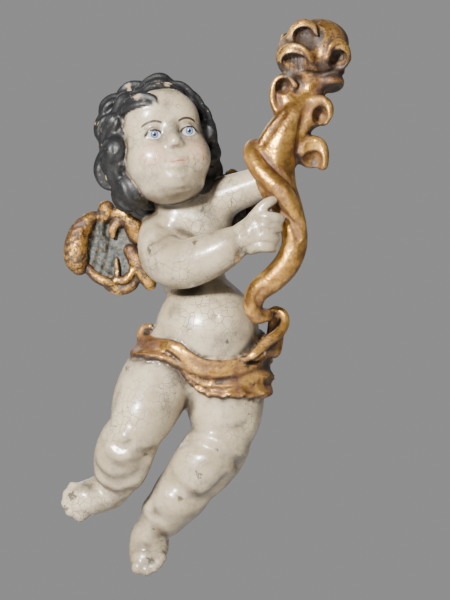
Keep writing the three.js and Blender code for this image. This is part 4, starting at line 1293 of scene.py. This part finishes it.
def wingMaterial():
    material, w, shader, spot, mark = newMaterial("featherPaint")
    hollow, ridge, gilt = mark("hollow"), mark("ridge"), mark("gilt")
    gold = useGroup(w, gildingTree, Vector=spot, Hollow=hollow, Ridge=w.times(ridge, 0.4),
                    Wear=goldLeaf["wearOnWings"])
    inside = w.blend(w.step(w.noise(spot, 160.0, 6.0, 0.8), 0.36, 0.64), wingPaint["dark"], wingPaint["blue"])
    inside = w.blend(w.step(w.noise(spot, 480.0, 4.0, 0.75), 0.52, 0.6), inside, wingPaint["gold"])
    high = w.plus(w.noise(spot, 380.0, 5.0, 0.75), w.times(ridge, 0.3))
    inside = w.blend(w.step(high, 0.68, 0.8), inside, wingPaint["pale"])
    # painted shade in the hollows
    inside = w.blend(w.times(w.step(hollow, 0.25, 0.8), 0.7), inside, wingPaint["dark"])
    ragged = w.times(w.minus(w.noise(spot, 170.0, 5.0, 0.7), 0.5), 1.6)
    share = w.step(w.plus(gilt, ragged), 0.4, 0.6)
    w.put(shader["Base Color"], w.blend(share, inside, gold["Color"]))
    w.put(shader["Metallic"], w.times(share, gold["Metal"]))
    w.put(shader["Roughness"], w.mix(share, 0.6, gold["Roughness"]))
    w.put(shader["Normal"], bumpFrom(w, gold["Height"], wingPaint["bump"]))
    return material


# the pieces
makePiece("puttoCarving", *modelFigure(), paintedFigureMaterial(), "putto", "painted_wood")
makePiece("hornCarving", *modelHorn(), gildedMaterial(), "horn_of_plenty", "gilded_wood")
featherPaint = wingMaterial()
makePiece("wingRightCarving", *modelWing(*wing["right"]), featherPaint, "wing_right", "painted_gilded_wood")
makePiece("wingLeftCarving", *modelWing(*wing["left"]), featherPaint, "wing_left", "painted_gilded_wood")


# floor, light and camera, in metres
studio = {
    "floorDrop": 0.5, "floorHalf": 1.9, "floorPaint": (paint(214, 212, 208), paint(220, 218, 214)),
    "backdrop": paint(146, 146, 146),
    "cameraAt": (0.02625, -2.05, -0.04875), "lens": 160.0,
    "lightsAimAt": (0.02, -0.05, -0.05),
    "lights": {  # place, width, watts, tint
        "keyLight": ((-0.5, -1.16, 0.4), 0.2, 69, (1, 0.985, 0.955)),
        "sideLight": ((1.3, -1.5, 0.6), 0.7, 3, (0.95, 0.97, 1)),
        "backLight": ((-0.6, 1.6, 0.9), 0.9, 6, (1, 1, 1)),
    },
}


def makeFloor():
    half, z = studio["floorHalf"], -studio["floorDrop"]
    mesh = bpy.data.meshes.new("floor")
    corners = [(-half, -half, z), (half, -half, z), (half, half, z), (-half, half, z)]
    mesh.from_pydata(corners, [], [(0, 1, 2, 3)])
    material, w, shader, spot, _ = newMaterial("paleFloor")
    w.put(shader["Base Color"], w.blend(w.noise(spot, 3.0), *studio["floorPaint"]))
    shader["Roughness"].default_value = 0.8
    mesh.materials.append(material)
    floor = bpy.data.objects.new("floor", mesh)
    bpy.context.scene.collection.objects.link(floor)
    floor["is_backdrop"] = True


def softLight(name, at, size, watts, tint):
    lamp = bpy.data.lights.new(name, "AREA")
    lamp.shape = "DISK"
    lamp.size = size
    lamp.energy = watts
    lamp.color = tint
    light = bpy.data.objects.new(name, lamp)
    light.location = at
    aim = np.array(studio["lightsAimAt"]) - np.array(at)
    tilt = math.atan2(math.hypot(aim[0], aim[1]), -aim[2])
    light.rotation_euler = (tilt, 0, math.atan2(-aim[0], aim[1]))
    bpy.context.scene.collection.objects.link(light)


makeFloor()
for name, settings in studio["lights"].items():
    softLight(name, *settings)

world = bpy.data.worlds.new("studioAir")
world.use_nodes = True
world.node_tree.nodes["Background"].inputs["Color"].default_value = studio["backdrop"]
bpy.context.scene.world = world

lens = bpy.data.cameras.new("camera")
lens.lens = studio["lens"]
camera = bpy.data.objects.new("camera", lens)
camera.location = studio["cameraAt"]
camera.rotation_euler = (math.pi / 2, 0, 0)
bpy.context.scene.collection.objects.link(camera)
bpy.context.scene.camera = camera

bpy.context.view_layer.update()
plain = lambda box: [[float(v) for v in corner] for corner in box]
{"cad": plain(cadBox), "visual": plain(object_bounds())}
report("scene ready")
